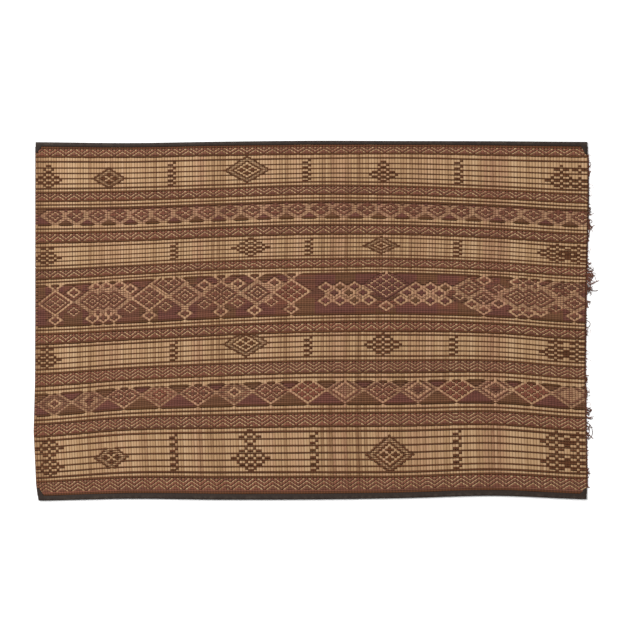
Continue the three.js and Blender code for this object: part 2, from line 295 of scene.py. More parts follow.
class Gathered:
    """Many swept skins and their attributes, gathered into one mesh."""

    def __init__(self):
        self.points = []
        self.quads = []
        self.triangles = []
        self.attributes = {}
        self.count = 0

    def add(self, rings, **attributes):
        points, quads, triangles = sweep(rings)
        self.points.append(points)
        self.quads.append(quads + self.count)
        self.triangles.append(triangles + self.count)
        around = rings.shape[1]
        for key, values in attributes.items():
            each = np.broadcast_to(values, (len(rings),) + np.shape(values)[1:])
            self.attributes.setdefault(key, []).append(np.repeat(each, around, axis=0))
        self.count += len(points)

    def add_at_points(self, rings, **attributes):
        """Adds a skin whose attributes are given at each of its points."""
        self.add(rings)
        for key, values in attributes.items():
            self.attributes.setdefault(key, []).append(values.reshape(-1))

    def made(self, name, material):
        attributes = {key: np.concatenate(values) for key, values in self.attributes.items()}
        return new_object(
            name,
            np.concatenate(self.points),
            np.concatenate(self.quads),
            np.concatenate(self.triangles),
            attributes,
            material,
        )


# Materials


class Number:
    """A number in a material. Arithmetic on it adds the Math nodes that work it out."""

    def __init__(self, finish, socket):
        self.finish = finish
        self.socket = socket

    def maths(self, operation, *operands):
        node = self.finish.add("ShaderNodeMath", {"operation": operation}, dict(enumerate(operands)))
        return Number(self.finish, node.outputs[0])

    def __add__(self, other):
        return self.maths("ADD", self, other)

    def __radd__(self, other):
        return self.maths("ADD", other, self)

    def __sub__(self, other):
        return self.maths("SUBTRACT", self, other)

    def __mul__(self, other):
        return self.maths("MULTIPLY", self, other)

    def __rmul__(self, other):
        return self.maths("MULTIPLY", other, self)

    def between(self, low, high):
        """0 at low and below, 1 at high and above."""
        sockets = {"Value": self, "From Min": low, "From Max": high}
        node = self.finish.add("ShaderNodeMapRange", {"interpolation_type": "SMOOTHSTEP"}, sockets)
        return Number(self.finish, node.outputs["Result"])


class Finish:
    """A material and the nodes that make it."""

    def __init__(self, name):
        self.material = bpy.data.materials.new(name)
        self.material.use_nodes = True
        self.tree = self.material.node_tree
        self.shader = self.tree.nodes["Principled BSDF"]

    def add(self, kind, settings=None, sockets=None):
        node = self.tree.nodes.new(kind)
        for key, value in (settings or {}).items():
            if key == "stops":
                self.set_stops(node.color_ramp, value)
            else:
                setattr(node, key, value)
        self.fill(node, sockets or {})
        return node

    def set_stops(self, ramp, stops):
        while len(ramp.elements) < len(stops):
            ramp.elements.new(1.0)
        for element, (position, tint) in zip(ramp.elements, stops):
            element.position = position
            element.color = rgba(tint)

    def fill(self, node, sockets):
        for key, value in sockets.items():
            socket = node.inputs[key]
            if isinstance(value, Number):
                self.tree.links.new(value.socket, socket)
            elif isinstance(value, bpy.types.NodeSocket):
                self.tree.links.new(value, socket)
            else:
                socket.default_value = value

    def place(self):
        return self.add("ShaderNodeTexCoord").outputs["Object"]

    def stretched(self, scale):
        """Coordinates of the object, in metres, each multiplied by its own amount."""
        sockets = {0: self.place(), 1: scale}
        return self.add("ShaderNodeVectorMath", {"operation": "MULTIPLY"}, sockets).outputs[0]

    def noise(self, where, scale, detail=3.0, roughness=0.6):
        sockets = {"Vector": where, "Scale": scale, "Detail": detail, "Roughness": roughness}
        return Number(self, self.add("ShaderNodeTexNoise", None, sockets).outputs["Fac"])

    def attribute(self, name):
        return self.add("ShaderNodeAttribute", {"attribute_name": name})

    def scaled(self, tint, amount):
        """A colour made brighter or darker."""
        sockets = {0: tint, "Scale": amount}
        return self.add("ShaderNodeVectorMath", {"operation": "SCALE"}, sockets).outputs[0]

    def mixed(self, share, tint, other):
        """Two colours mixed. A Mix node's colours are its inputs 6 and 7, and the mixture is its output 2."""
        return self.add("ShaderNodeMix", {"data_type": "RGBA"}, {0: share, 6: tint, 7: other}).outputs[2]

    def bump(self, height, strength, distance):
        sockets = {"Height": height, "Strength": strength, "Distance": distance}
        return self.add("ShaderNodeBump", None, sockets).outputs["Normal"]

    def done(self, **sockets):
        self.fill(self.shader, {key.replace("_", " "): value for key, value in sockets.items()})
        return self.material


def rgba(tint):
    return (*tint, 1.0)


def reed_straw(settings):
    """Dry reed: each stalk its own tone, streaked along its length."""
    finish = Finish("reed straw")
    tone = Number(finish, finish.attribute("tone").outputs["Fac"])
    streak = finish.noise(finish.stretched((1.0, 0.035, 1.0)), scale=1400.0, detail=4.0)
    fleck = finish.noise(finish.stretched((1.0, 0.2, 1.0)), scale=420.0)
    place_on_ramp = tone + 0.5 * (streak - 0.5) + 0.35 * (fleck - 0.5)
    stops = ((0.0, settings.brown), (0.42, settings.golden), (1.0, settings.pale))
    ramp = finish.add("ShaderNodeValToRGB", {"stops": stops}, {"Fac": place_on_ramp})
    stained = Number(finish, finish.attribute("blush").outputs["Fac"])
    tint = finish.mixed(stained * fleck.between(0.3, 0.6), ramp.outputs["Color"], rgba(settings.blush))
    bump = finish.bump(streak, strength=0.35, distance=0.0004)
    return finish.done(Base_Color=tint, Roughness=0.5 + 0.25 * streak, Normal=bump, Specular_IOR_Level=0.2)


def thong_leather(name):
    """Dyed leather, dull, blotched where the dye took unevenly."""
    finish = Finish(name)
    dye = finish.attribute("dye").outputs["Color"]
    blotch = finish.noise(finish.stretched((1.0, 3.0, 1.0)), scale=90.0, detail=4.0)
    grain = finish.noise(finish.place(), scale=1500.0)
    tint = finish.scaled(dye, 0.62 + 0.5 * blotch + 0.28 * grain)
    bump = finish.bump(grain, strength=0.4, distance=0.0003)
    return finish.done(Base_Color=tint, Roughness=0.6 + 0.25 * blotch, Normal=bump, Specular_IOR_Level=0.12)


def binding_leather(settings):
    """Black leather, with a painted sheen along its crown."""
    finish = Finish("binding leather")
    crown = Number(finish, finish.attribute("crown").outputs["Fac"])
    blotch = finish.noise(finish.place(), scale=120.0, detail=4.0)
    grain = finish.noise(finish.place(), scale=1300.0, detail=4.0, roughness=0.65)
    # A painted sheen along the crown, in patches.
    sheen = crown * blotch.between(0.38, 0.68)
    tint = finish.mixed(sheen, rgba(settings.black), rgba(settings.sheen_tint))
    shade = finish.scaled(tint, 0.8 + 0.4 * grain)
    bump = finish.bump(grain + 0.6 * blotch, strength=0.5, distance=0.0004)
    return finish.done(Base_Color=shade, Roughness=0.55 + 0.2 * blotch, Normal=bump, Specular_IOR_Level=0.2)


def thread(settings):
    """Sewing thread, twisted from two strands."""
    finish = Finish("sewing thread")
    twist = finish.noise(finish.stretched((1.0, 2.5, 2.5)), scale=2600.0, detail=2.0, roughness=0.5)
    tint = finish.scaled(tuple(settings.thread), 0.6 + 0.8 * twist)
    bump = finish.bump(twist, strength=0.4, distance=0.0002)
    return finish.done(Base_Color=tint, Roughness=0.6 + 0.2 * twist, Normal=bump)


def plain(name, tint, roughness):
    return Finish(name).done(Base_Color=rgba(tint), Roughness=roughness)


# The bands of the weave, each by its lower edge, and what is charted in them

TOP_OF_WEAVE = 11.0

# Motifs in the bands of bare reed. Each has the number of checks in every hidden row, from the top.
HOURGLASS = (0, 0, 0, 1, 2, 1, 2, 3, 4, 3, 2, 1)
HOURGLASS_LOW = (0, 0, 0, 1, 2, 1, 0, 1, 2, 3, 2, 1)
KITE = (0, 0, 2, 1, 2, 3, 4, 3, 2, 1)
TALL_KITE = (0, 1, 2, 1, 2, 3, 4, 3, 2, 1)
FULL = (0, 1, 2, 3, 4, 5, 4, 3, 2, 1)
TWO_UP = (0, 1, 2, 3, 4, 3, 2, 1, 2, 3, 4, 3, 2, 1)
SMALL_AND_FULL = (0, 1, 2, 3, 2, 1, 2, 3, 4, 5, 4, 3, 2, 1)


def line_between_grooves(upper, line, lower):
    """Three narrow bands by their lower edges: bare reeds, one thong alone, and bare reeds again."""
    kinds = ((upper, "groove"), (line, "line"), (lower, "groove"))
    return [{"to": edge, "weave": kind} for edge, kind in kinds]


# In the zigzags, "valley" is the first reed under a lowest point, and at each slip the repeat skips reeds.
BANDS = (
    {"to": 34.0, "weave": "zigzags", "rows": 6, "valley": 5},
    {
        "to": 110.5,
        "weave": "reeds",
        "lines": (43.5, 57.5, 69.5, 81.5, 93.0, 103.5),
        "checks": ((4, 2, HOURGLASS), (124, 2, HOURGLASS), (184, 1, HOURGLASS), (190, 1, HOURGLASS_LOW)),
        "columns": (49, 97, 149),
        "lozenges": ((27, 11, "single"), (77, 8, "double")),
    },
    {"to": 132.5, "weave": "zigzags", "rows": 6, "valley": 5, "slips": ((116, 2),)},
    *line_between_grooves(137.5, 141.5, 146.0),
    {"to": 185.5, "weave": "small lozenges", "rows": 10},
    *line_between_grooves(190.5, 194.5, 199.5),
    {"to": 225.0, "weave": "zigzags", "rows": 6, "valley": 5, "slips": ((160, -1),)},
    {
        "to": 282.0,
        "weave": "reeds",
        "lines": (233.0, 244.5, 255.0, 265.0, 275.0),
        "checks": ((4, 1, KITE), (78, 2, FULL), (183, 1, FULL), (190, 1, FULL)),
        "columns": (50, 98, 149),
        "lozenges": ((124, 7, "eyed"),),
    },
    {"to": 305.0, "weave": "zigzags", "rows": 6, "valley": 5, "slips": ((60, 1), (80, -1), (120, -1))},
    *line_between_grooves(309.5, 313.5, 318.0),
    {"to": 410.0, "weave": "central lozenges", "rows": 22},
    *line_between_grooves(414.5, 418.5, 423.5),
    {"to": 449.0, "weave": "zigzags", "rows": 6, "valley": 5, "slips": ((110, -1),)},
    {
        "to": 511.5,
        "weave": "reeds",
        "lines": (456.0, 469.0, 480.5, 492.0, 503.5),
        "checks": ((4, 1, TALL_KITE), (125, 1, FULL), (183, 1, TALL_KITE), (190, 1, TALL_KITE)),
        "columns": (50, 98, 148),
        "lozenges": ((77, 5, "double"),),
    },
    {"to": 542.0, "weave": "zigzags", "rows": 8, "valley": 5, "slips": ((110, -1),)},
    *line_between_grooves(548.0, 552.5, 558.0),
    {"to": 607.5, "weave": "large lozenges", "rows": 12},
    *line_between_grooves(613.0, 617.5, 622.5),
    {"to": 653.0, "weave": "zigzags", "rows": 8, "valley": 6, "slips": ((80, -1), (150, -1))},
    {
        "to": 749.5,
        "weave": "reeds",
        "lines": (661.5, 676.0, 690.0, 704.5, 718.0, 731.0, 742.5),
        "checks": ((5, 1, TWO_UP), (78, 2, SMALL_AND_FULL), (183, 1, TWO_UP), (190, 1, TWO_UP)),
        "columns": (50, 100, 149),
        "lozenges": ((28, 12, "single", 8, 17), (127, 12, "double")),
    },
    {"to": 782.1, "weave": "zigzags", "rows": 9, "valley": 6, "slips": ((70, -1), (140, -1)), "closed": True},
)

REEDS = np.arange(REED_COUNT)
ZIGZAG_REEDS = 6
ZIGZAG_FALL = 3
PACKED_SHARE = 0.73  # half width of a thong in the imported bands, as a share of the rows' pitch
MARK_SHARE = 0.58  # and of the checks and lozenges in the bands of bare reeds
LINE_SHARE = 0.38  # and of a single line over bare reeds
THICK_SHARE = 0.52  # and of the first and last line of a band of bare reeds
ALONE_SHARE = 0.45  # and of the one line between two grooves
LOZENGE_SHARE = 0.76  # and of a thong in the bands of lozenges
LOZENGE_SHADE = 0.88  # the thongs of the bands of lozenges are dyed darker
HIDDEN_BETWEEN_LINES = 2

# Lozenges are charted ring by ring from the middle outwards. In each ring the thong covers the reeds,
# leaves them bare, or crosses them so narrowly that much of each reed shows. Dots are set over the rings.
COVERED = "#"
BARE = "."
NARROW = ":"
THIN = "-"
HALF = "="
SHARES = {COVERED: 1.0, BARE: 1.0, NARROW: 0.2, HALF: 0.36, THIN: 0.72}
TIP_SHARE = 0.4  # a thong's width at the side tips of a solid motif, and just before them
NEAR_TIP_SHARE = 0.8
CROSS = ((-2, 0), (2, 0), (0, -2), (0, 2))
NET = ((0, 0), (-4, 0), (4, 0), (0, -4), (0, 4), (-2, -2), (2, -2), (-2, 2), (2, 2))
LOZENGES = {
    "bare dot": {"rings": "##"},
    "dot": {"rings": "##.:"},
    "ringed dot": {"rings": "##.:#"},
    "clear dot": {"rings": "##.#"},
    "banded dot": {"rings": "##.#:::"},
    "small cross": {"rings": "....:::", "dots": CROSS},
    "single": {"rings": "....==#", "dots": CROSS},
    "double": {"rings": ".....#==#", "dots": CROSS},
    "eyed": {"rings": "##.#==#"},
    "big cross": {"rings": ".....#.:", "dots": CROSS},
    "target": {"rings": "#.#.#:::"},
    "ring": {"rings": ".#.==-::"},
    "filled": {"rings": "====.-::"},
    "filled ring": {"rings": "##==.-::"},
    "inner": {"rings": "#.#=:-::"},
    "open": {"rings": "==:::-::"},
    "net": {"rings": ".......:", "dots": NET},
    "framed net": {"rings": ".......#:", "dots": NET},
}
PLAIN = 0
OLIVE = 1
MAROON = 2
RED = 3
LAST_ROW = 99  # past the last row of any band


class Chart:
    """What each row of thong in a band does at each reed."""

    def __init__(self, rows, over=True):
        self.rows = np.arange(rows)[:, None]
        self.over = np.full((rows, REED_COUNT), over)
        self.width = np.ones((rows, REED_COUNT))
        self.lean_left = np.zeros((rows, REED_COUNT))
        self.lean_right = np.zeros((rows, REED_COUNT))
        self.tip_left = np.zeros((rows, REED_COUNT), bool)
        self.tip_right = np.zeros((rows, REED_COUNT), bool)
        self.tint = np.full((rows, REED_COUNT), PLAIN)

    def mark(self, cells, mark, tint=None):
        self.over[cells] = mark != BARE
        self.width[cells] = SHARES[mark]
        if tint is not None:
            self.tint[cells] = tint

    def lean(self, cells, left, right):
        self.lean_left[cells] = left[cells]
        self.lean_right[cells] = right[cells]

    def lozenges(self, places, kind, tint=None, first=0, last=LAST_ROW):
        """Draws a lozenge, or several that share their outer rings, over what the chart already holds."""
        rings = LOZENGES[kind]["rings"]
        offsets = [(REEDS[None, :] - reed, self.rows - row) for reed, row in places]
        distances = np.array([np.abs(across) + np.abs(deep) for across, deep in offsets])
        nearest = distances.argmin(0)
        ring = distances.min(0)
        across = np.choose(nearest, [np.broadcast_to(a, ring.shape) for a, _ in offsets])
        deep = np.choose(nearest, [np.broadcast_to(d, ring.shape) for _, d in offsets])
        within = (self.rows >= first) & (self.rows <= last)
        for distance, mark in enumerate(rings):
            self.mark((ring == distance) & within, mark, tint)
        side = -np.sign(deep)
        left = side * (np.abs(across) - np.abs(across - 1))
        right = side * (np.abs(across + 1) - np.abs(across))
        drawn = (ring < len(rings)) & within
        self.lean(drawn, left, right)
        self.tip_left[drawn] = ((deep == 0) & (across <= 0))[drawn]
        self.tip_right[drawn] = ((deep == 0) & (across >= 0))[drawn]
        dots = [(reed + a, row + d) for reed, row in places for a, d in LOZENGES[kind].get("dots", ())]
        if dots:
            self.lozenges(dots, "bare dot", tint, first, last)

    def outline(self, reed, row, distance, mark):
        ring = np.abs(REEDS[None, :] - reed) + np.abs(self.rows - row)
        self.mark(ring == distance, mark)

    def tint_between(self, start, end, rows, tint):
        """Another dye for a patch of plain ground."""
        columns = (REEDS[None, :] >= start) & (REEDS[None, :] < end)
        self.tint[columns & (self.rows >= rows[0]) & (self.rows < rows[1])] = tint

    def bare_ticks(self):
        """At the left end every other thong turns back under the first reed."""
        self.mark((REEDS[None, :] == 0) & (self.rows % 2 == 1), BARE)


def zigzags(band):
    """Nested zigzags of bare reed, with solid triangles of thong under their peaks."""
    chart = Chart(band["rows"])
    last = band["rows"] - (2 if band.get("closed") else 1)
    count = REEDS - band["valley"]
    for reed, skip in band.get("slips", ()):
        count = np.where(REEDS >= reed, count - skip, count)
    half = ZIGZAG_REEDS // 2

    def fall_at(count):
        return ZIGZAG_FALL - np.abs((count + half) % ZIGZAG_REEDS - half)

    fall = fall_at(count)
    lowest = last - ZIGZAG_FALL
    offset = chart.rows - fall[None, :]
    chart.over[(offset <= lowest) & ((offset - lowest) % 2 == 0)] = False
    chart.over[0] = True
    chart.lean_left[:] = fall - fall_at(count - 1)
    chart.lean_right[:] = fall_at(count + 1) - fall
    chart.lean_left[0] = chart.lean_right[0] = 0
    chart.mark((chart.rows == last) & (fall == ZIGZAG_FALL)[None, :], THIN)
    return chart


SMALL_PITCH = 8
SMALL_START = 7
SMALL_ROW = 4
SMALL_COUNT = 24
TWO_ALIKE = 5  # from this lozenge on the two kinds have changed places


def small_lozenges(band):
    """Dots in lozenges and crosses of four dots by turns, with solid triangles between their frames."""
    chart = Chart(band["rows"])
    for count in range(-1, SMALL_COUNT):
        start = SMALL_START + SMALL_PITCH * count
        upper, lower = (OLIVE, MAROON) if count % 2 else (MAROON, OLIVE)
        chart.tint_between(start, start + SMALL_PITCH, (0, SMALL_ROW), upper)
        chart.tint_between(start, start + SMALL_PITCH, (SMALL_ROW, band["rows"]), lower)
    for count in range(SMALL_COUNT):
        reed = SMALL_START + SMALL_PITCH * count
        crossed = count % 2 == (1 if count < TWO_ALIKE else 0)
        chart.lozenges([(reed, SMALL_ROW)], "small cross" if crossed else "banded dot", PLAIN)
    chart.mark(0, COVERED)
    chart.bare_ticks()
    return chart


LARGE_KINDS = (
    (7, 5, "ring"),
    (20, 5, "hooks"),
    (33, 4, "four"),
    (46, 4, "inner"),
    (60, 4, "four"),
    (73, 4, "ring"),
    (86, 4, "four"),
    (99, 4, "net"),
    (112, 4, "filled"),
    (125, 4, "four"),
    (137, 4, "filled ring"),
    (150, 4, "net"),
    (163, 4, "filled ring"),
    (175, 4, "net"),
    (188, 4, "open"),
)


FOUR_REACH = 6
HOOKS = ((1, -2), (0, -1), (1, 0), (0, 1), (-1, 0), (0, 2))


def four_lozenges(chart, reed, row):
    """Two dots side by side with one above and one below, in a stepped outline."""
    chart.lozenges([(reed, row)], "open", PLAIN)
    for distance in range(FOUR_REACH):
        chart.outline(reed, row, distance, NARROW)
    chart.lozenges([(reed, row - 4)], "dot", PLAIN)
    chart.lozenges([(reed, row + 4)], "dot", PLAIN)
    chart.lozenges([(reed - 2, row), (reed + 2, row)], "clear dot", PLAIN)


def large_lozenges(band):
    """Large lozenges of several kinds, with frames that cross between them."""
    chart = Chart(band["rows"])
    start = 0
    for count, (reed, row, _) in enumerate((*LARGE_KINDS, (REED_COUNT, 4, None))):
        upper, lower = (MAROON, OLIVE) if count % 2 else (OLIVE, MAROON)
        chart.tint_between(start, reed, (0, row), upper)
        chart.tint_between(start, reed, (row, band["rows"]), lower)
        start = reed
    for reed, row, kind in LARGE_KINDS:
        if kind == "four":
            four_lozenges(chart, reed, row)
        elif kind == "hooks":
            chart.lozenges([(reed, row)], "open", PLAIN)
            for across, deep in HOOKS:
                chart.outline(reed + across, row + deep, 0, COVERED)
        else:
            chart.lozenges([(reed, row)], kind, RED if kind in ("net", "inner") else PLAIN)
    chart.bare_ticks()
    return chart


CENTRAL_LOZENGES = (
    (7, 0, "dot"), (7, 18, "dot"), (14, 4, "ringed dot"), (14, 14, "clear dot"),
    (35, 4, "ringed dot"), (35, 14, "clear dot"), (42, 18, "dot"), (48, 14, "clear dot"),
    (55, 18, "dot"), (62, 4, "ringed dot"), (62, 14, "clear dot"), (68, 0, "dot"), (68, 18, "dot"),
    (74, 4, "ringed dot"), (74, 14, "clear dot"), (80, 0, "dot"), (80, 18, "dot"),
    (87, 4, "ringed dot"), (86, 14, "clear dot"), (93, 0, "dot"), (93, 18, "dot"),
    (126, 17, "ringed dot"), (151, 11, "clear dot"), (154, 7, "banded dot"), (159, 2, "ringed dot"),
    (159, 12, "banded dot"), (155, 15, "dot"), (159, 18, "dot"), (164, 6, "clear dot"), (164, 14, "dot"),
    (183, 5, "banded dot"), (183, 14, "clear dot"), (188, 3, "eyed"), (189, 11, "banded dot"),
    (189, 18, "dot"),
)
SMALL_NET = (
    (105, 7), (110, 7), (115, 7), (136, 7), (141, 7), (146, 7),
    (108, 10), (113, 10), (118, 10), (133, 10), (138, 10), (144, 10),
    (105, 14), (110, 14), (115, 14), (120, 14), (131, 14), (136, 14), (141, 14), (146, 14),
)
LEFT_NET_TOP = ((22, 2), (26, 2), (31, 2))
LEFT_NET = ((23, 15), (27, 15), (21, 18), (25, 18), (29, 18))
RIGHT_NET_TOP = ((170, 2), (174, 2), (172, 0), (176, 0), (172, 4), (176, 4))
RIGHT_NET = ((172, 16), (176, 15), (170, 18), (174, 18), (178, 17))
TARGETS = (((21, 9), (25, 9), (29, 9)), ((170, 10), (174, 10), (178, 10)), ((55, 9),), ((81, 9),))

# The ground of the widest band changes dye from patch to patch, above and below the large lozenges.
PATCH_REEDS = 7
PATCH_START = -3
PATCH_COUNT = 28
PATCH_DYES = ((OLIVE, MAROON), (MAROON, PLAIN), (PLAIN, OLIVE), (MAROON, MAROON))
ROWS_ABOVE = (0, 8)
ROWS_BELOW = (13, 22)


def central_lozenges(band):
    """The widest band: large lozenges in a row, with small ones above and below between them."""
    chart = Chart(band["rows"])
    for count in range(PATCH_COUNT):
        start = PATCH_REEDS * count + PATCH_START
        above, below = PATCH_DYES[count % len(PATCH_DYES)]
        chart.tint_between(start, start + PATCH_REEDS, ROWS_ABOVE, above)
        chart.tint_between(start, start + PATCH_REEDS, ROWS_BELOW, below)
    for reed, row, kind in CENTRAL_LOZENGES:
        chart.lozenges([(reed, row)], kind, PLAIN)
    for dots in (LEFT_NET_TOP, LEFT_NET, RIGHT_NET_TOP, RIGHT_NET):
        chart.lozenges(dots, "dot", PLAIN)
    chart.lozenges(SMALL_NET, "dot", PLAIN)
    for reed, row in SMALL_NET:
        chart.tint_between(reed - 1, reed + 2, (row - 1, row + 2), MAROON if (reed + row) % 3 else OLIVE)
    chart.lozenges([(49, 2)], "big cross", PLAIN)
    chart.lozenges([(7, 9)], "big cross", PLAIN)
    for places in TARGETS:
        chart.lozenges(places, "target", PLAIN)
    four_lozenges(chart, 68, 9)
    chart.lozenges([(42, 9)], "net", PLAIN)
    chart.lozenges([(93, 9)], "net", RED)
    chart.lozenges([(126, 6)], "framed net", MAROON)
    chart.bare_ticks()
    return chart


WEAVES = {
    "zigzags": zigzags,
    "small lozenges": small_lozenges,
    "large lozenges": large_lozenges,
    "central lozenges": central_lozenges,
    "groove": lambda band: Chart(1, over=False),
    "line": lambda band: Chart(1),
}
WEAVE_SHARES = {
    "line": ALONE_SHARE,
    "small lozenges": LOZENGE_SHARE,
    "large lozenges": LOZENGE_SHARE,
    "central lozenges": LOZENGE_SHARE,
}


def check_reeds(middle, width, count):
    """The reeds that a hidden row crosses over, in a motif of single reeds and pairs by turns."""
    other = 3 - width
    reeds = []
    if count % 2:
        for step in range(-(count // 2), count // 2 + 1):
            reeds += [middle + 3 * step + k for k in range(width)]
    else:
        for step in range(count // 2):
            reeds += [middle + width + 3 * step + k for k in range(other)]
            reeds += [middle - 1 - 3 * step - k for k in range(other)]
    return [reed for reed in reeds if 0 <= reed < REED_COUNT]


def light_band(top, band):
    """A band of bare reeds: single lines over all the reeds, and thongs hidden under them between."""
    lines = band["lines"]
    pitch = (lines[-1] - lines[0]) / (len(lines) - 1) / (HIDDEN_BETWEEN_LINES + 1)
    stops = [top - pitch / 2, *lines, band["to"] + pitch / 2]
    downs = []
    over = []
    for i, (above, below) in enumerate(zip(stops, stops[1:])):
        hidden = HIDDEN_BETWEEN_LINES
        if i == len(stops) - 2:
            hidden -= 1
        for k in range(hidden):
            downs.append(above + (below - above) * (k + 1) / (hidden + 1))
            over.append(False)
        if i < len(stops) - 2:
            downs.append(below)
            over.append(True)
    chart = Chart(len(downs))
    chart.over[:] = np.array(over)[:, None]
    chart.width[over] = LINE_SHARE / MARK_SHARE
    chart.width[[HIDDEN_BETWEEN_LINES, -2]] = THICK_SHARE / MARK_SHARE
    hidden = [row for row in range(len(downs)) if not over[row]]
    tints = (PLAIN, OLIVE, MAROON, RED)
    for middle, width, counts in band["checks"]:
        for row, count in zip(hidden, counts):
            chart.over[row, check_reeds(middle, width, count)] = True
    for reed in band["columns"]:
        for order, row in enumerate(hidden[HIDDEN_BETWEEN_LINES:-1]):
            chart.over[row, [reed, reed + 1] if order % 2 else [reed + 2]] = True
            chart.tint[row, reed : reed + 3] = tints[(order + reed) % 4]
    for reed, row, kind, *reach in band["lozenges"]:
        chart.lozenges([(reed, row)], kind, None, *reach)
    return np.array(downs), chart, pitch


def weave_rows():
    """Each row of thong: its place down the mat, its half width and what it does at each reed."""
    rows = []
    top = TOP_OF_WEAVE
    for number, band in enumerate(BANDS):
        if band["weave"] == "reeds":
            downs, chart, pitch = light_band(top, band)
            half = np.full(len(downs), MARK_SHARE * pitch)
        else:
            chart = WEAVES[band["weave"]](band)
            pitch = (band["to"] - top) / len(chart.rows)
            downs = top + pitch * (chart.rows[:, 0] + 0.5)
            share = WEAVE_SHARES.get(band["weave"], PACKED_SHARE)
            half = np.full(len(downs), share * pitch)
        for i, down in enumerate(downs):
            rows.append({
                "band": number,
                "line": band["weave"] in ("line", "reeds"),
                "shade": LOZENGE_SHADE if "lozenges" in band["weave"] else 1.0,
                "edge": band["weave"] != "reeds" and i in (0, len(downs) - 1),
                "down": down,
                "half": half[i],
                "pitch": pitch,
                "over": chart.over[i],
                "width": chart.width[i],
                "lean": (chart.lean_left[i], chart.lean_right[i]),
                "tips": (chart.tip_left[i], chart.tip_right[i]),
                "tint": chart.tint[i],
            })
        top = band["to"]
    return rows


# Thong rows

SHOULDER = 0.27  # where a thong starts to bend down, as a share of a reed from its middle
ROUNDING = 0.12  # and how far it has sunk there, in millimetres
LONG_FLOAT = 8  # reeds from one station to the next, where a thong stays hidden
TURN_REACH = 0.16  # how far a thong stands out round the outer reed, as a share of a reed
TURN_LIFT = 1.1  # how far above or below its outermost point the thong ends, in millimetres
TURN_WIDTH = 0.9
# How bright the dye is painted, by shares of a reed from its middle: a painted highlight where the thong
# crowns over the reed's back and painted shade at the seam between two reeds.
CROWN_LIGHT_SEAM_SHADE = ((0.0, 0.27, 0.5), (1.14, 1.04, 0.74))


def row_stations(row, settings):
    """Where one row of thong bends: counts of reeds, heights, shifts down the mat and widths."""
    over = row["over"]
    high = settings.over / MM
    low = settings.under / MM
    middle = (high + low) / 2
    seam = settings.seam / MM
    height = np.where(over, high - ROUNDING, low + ROUNDING)
    beside = np.concatenate(([not over[0]], over, [not over[-1]]))
    changed_left = beside[1:-1] != beside[:-2]
    changed_right = beside[1:-1] != beside[2:]
    lean_left, lean_right = row["lean"]
    bent = over & changed_left & changed_right & (lean_left != lean_right)
    crowned = (over & ~(changed_left & changed_right)) | bent | (~over & (REEDS % LONG_FLOAT == 0))
    stations = []

    def put(reeds, side, heights, shifts, widths):
        stations.append(np.stack((reeds + 0.5 + side, heights, shifts, widths), -1))

    def shift(reeds, side):
        lean = (lean_left if side < 0 else lean_right)[reeds]
        return np.where(over[reeds], lean * side * row["pitch"], 0.0)

    def narrowed(reeds, tips, share):
        return row["width"][reeds] * np.where(tips[reeds] & over[reeds], share, 1.0)

    left = REEDS[changed_left]
    right = REEDS[changed_right]
    crown = REEDS[crowned]
    tip_left, tip_right = row["tips"]
    put(left, -SHOULDER, height[left], shift(left, -SHOULDER), narrowed(left, tip_left, NEAR_TIP_SHARE))
    put(right, SHOULDER, height[right], shift(right, SHOULDER), narrowed(right, tip_right, NEAR_TIP_SHARE))
    put(crown, 0.0, np.where(over, high, low)[crown], np.zeros(len(crown)), row["width"][crown])
    before = REEDS[:-1]
    widths = (row["width"][1:] + row["width"][:-1]) / 2
    both = before[over[1:] & over[:-1]]
    put(both, 0.5, np.full(len(both), high - settings.dip / MM), np.zeros(len(both)), widths[both])
    crossing = before[over[1:] != over[:-1]]
    shifts = np.where(over[crossing], shift(crossing, 0.5), shift(crossing + 1, -0.5))
    ends = narrowed(crossing, tip_right, TIP_SHARE)
    starts = narrowed(crossing + 1, tip_left, TIP_SHARE)
    put(crossing, 0.5, np.full(len(crossing), seam), shifts, np.where(over[crossing], ends, starts))
    stations = np.concatenate(stations)
    stations = stations[np.argsort(stations[:, 0], kind="stable")]

    def turn(count, step, outer):
        """At each end the thong goes on round the outer reed, half way down its side."""
        lift = -TURN_LIFT if outer else TURN_LIFT
        far = (count + step * TURN_REACH, middle, 0.0, TURN_WIDTH)
        near = (count + step * TURN_REACH / 2, middle + lift, 0.0, TURN_WIDTH)
        return far, near

    far_left, near_left = turn(0, -1, over[0])
    far_right, near_right = turn(REED_COUNT, 1, over[-1])
    return np.concatenate(([near_left, far_left], stations, [far_right, near_right])).T


# Inside a binding heights are drawn towards a middle, each kind by its own share.
PRESSED_MIDDLE = 3.0
PRESSED_THONG = 0.6
PRESSED_REED = 0.82
PRESS_EASE = 2.0


def binding_reach(along, edge):
    """How far in from its long edge a binding's leather reaches, deeper at each corner where it returns."""
    reach = edge["reach"] + np.interp(along, WAVER_STATIONS, edge["waver"])
    for side, end in ((along, edge["left"]), (MAT_LENGTH - along, edge["right"])):
        share = np.clip((CORNER_MITRE - side) / (CORNER_MITRE - CORNER_TOE), 0.0, 1.0)
        reach = np.maximum(reach, reach + (end - reach) * share)
    return reach


def pressed(along, down, height, share):
    """Heights of what lies inside a binding, where the mat's edge is pressed thin."""
    upper = binding_reach(along, UPPER_EDGE) - down
    lower = binding_reach(along, LOWER_EDGE) - (MAT_WIDTH - down)
    inside = np.clip(np.maximum(upper, lower) / PRESS_EASE + 0.5, 0.0, 1.0)
    ease = inside * inside * (3 - 2 * inside)
    flat = PRESSED_MIDDLE + (height - PRESSED_MIDDLE) * share
    return height + (flat - height) * ease


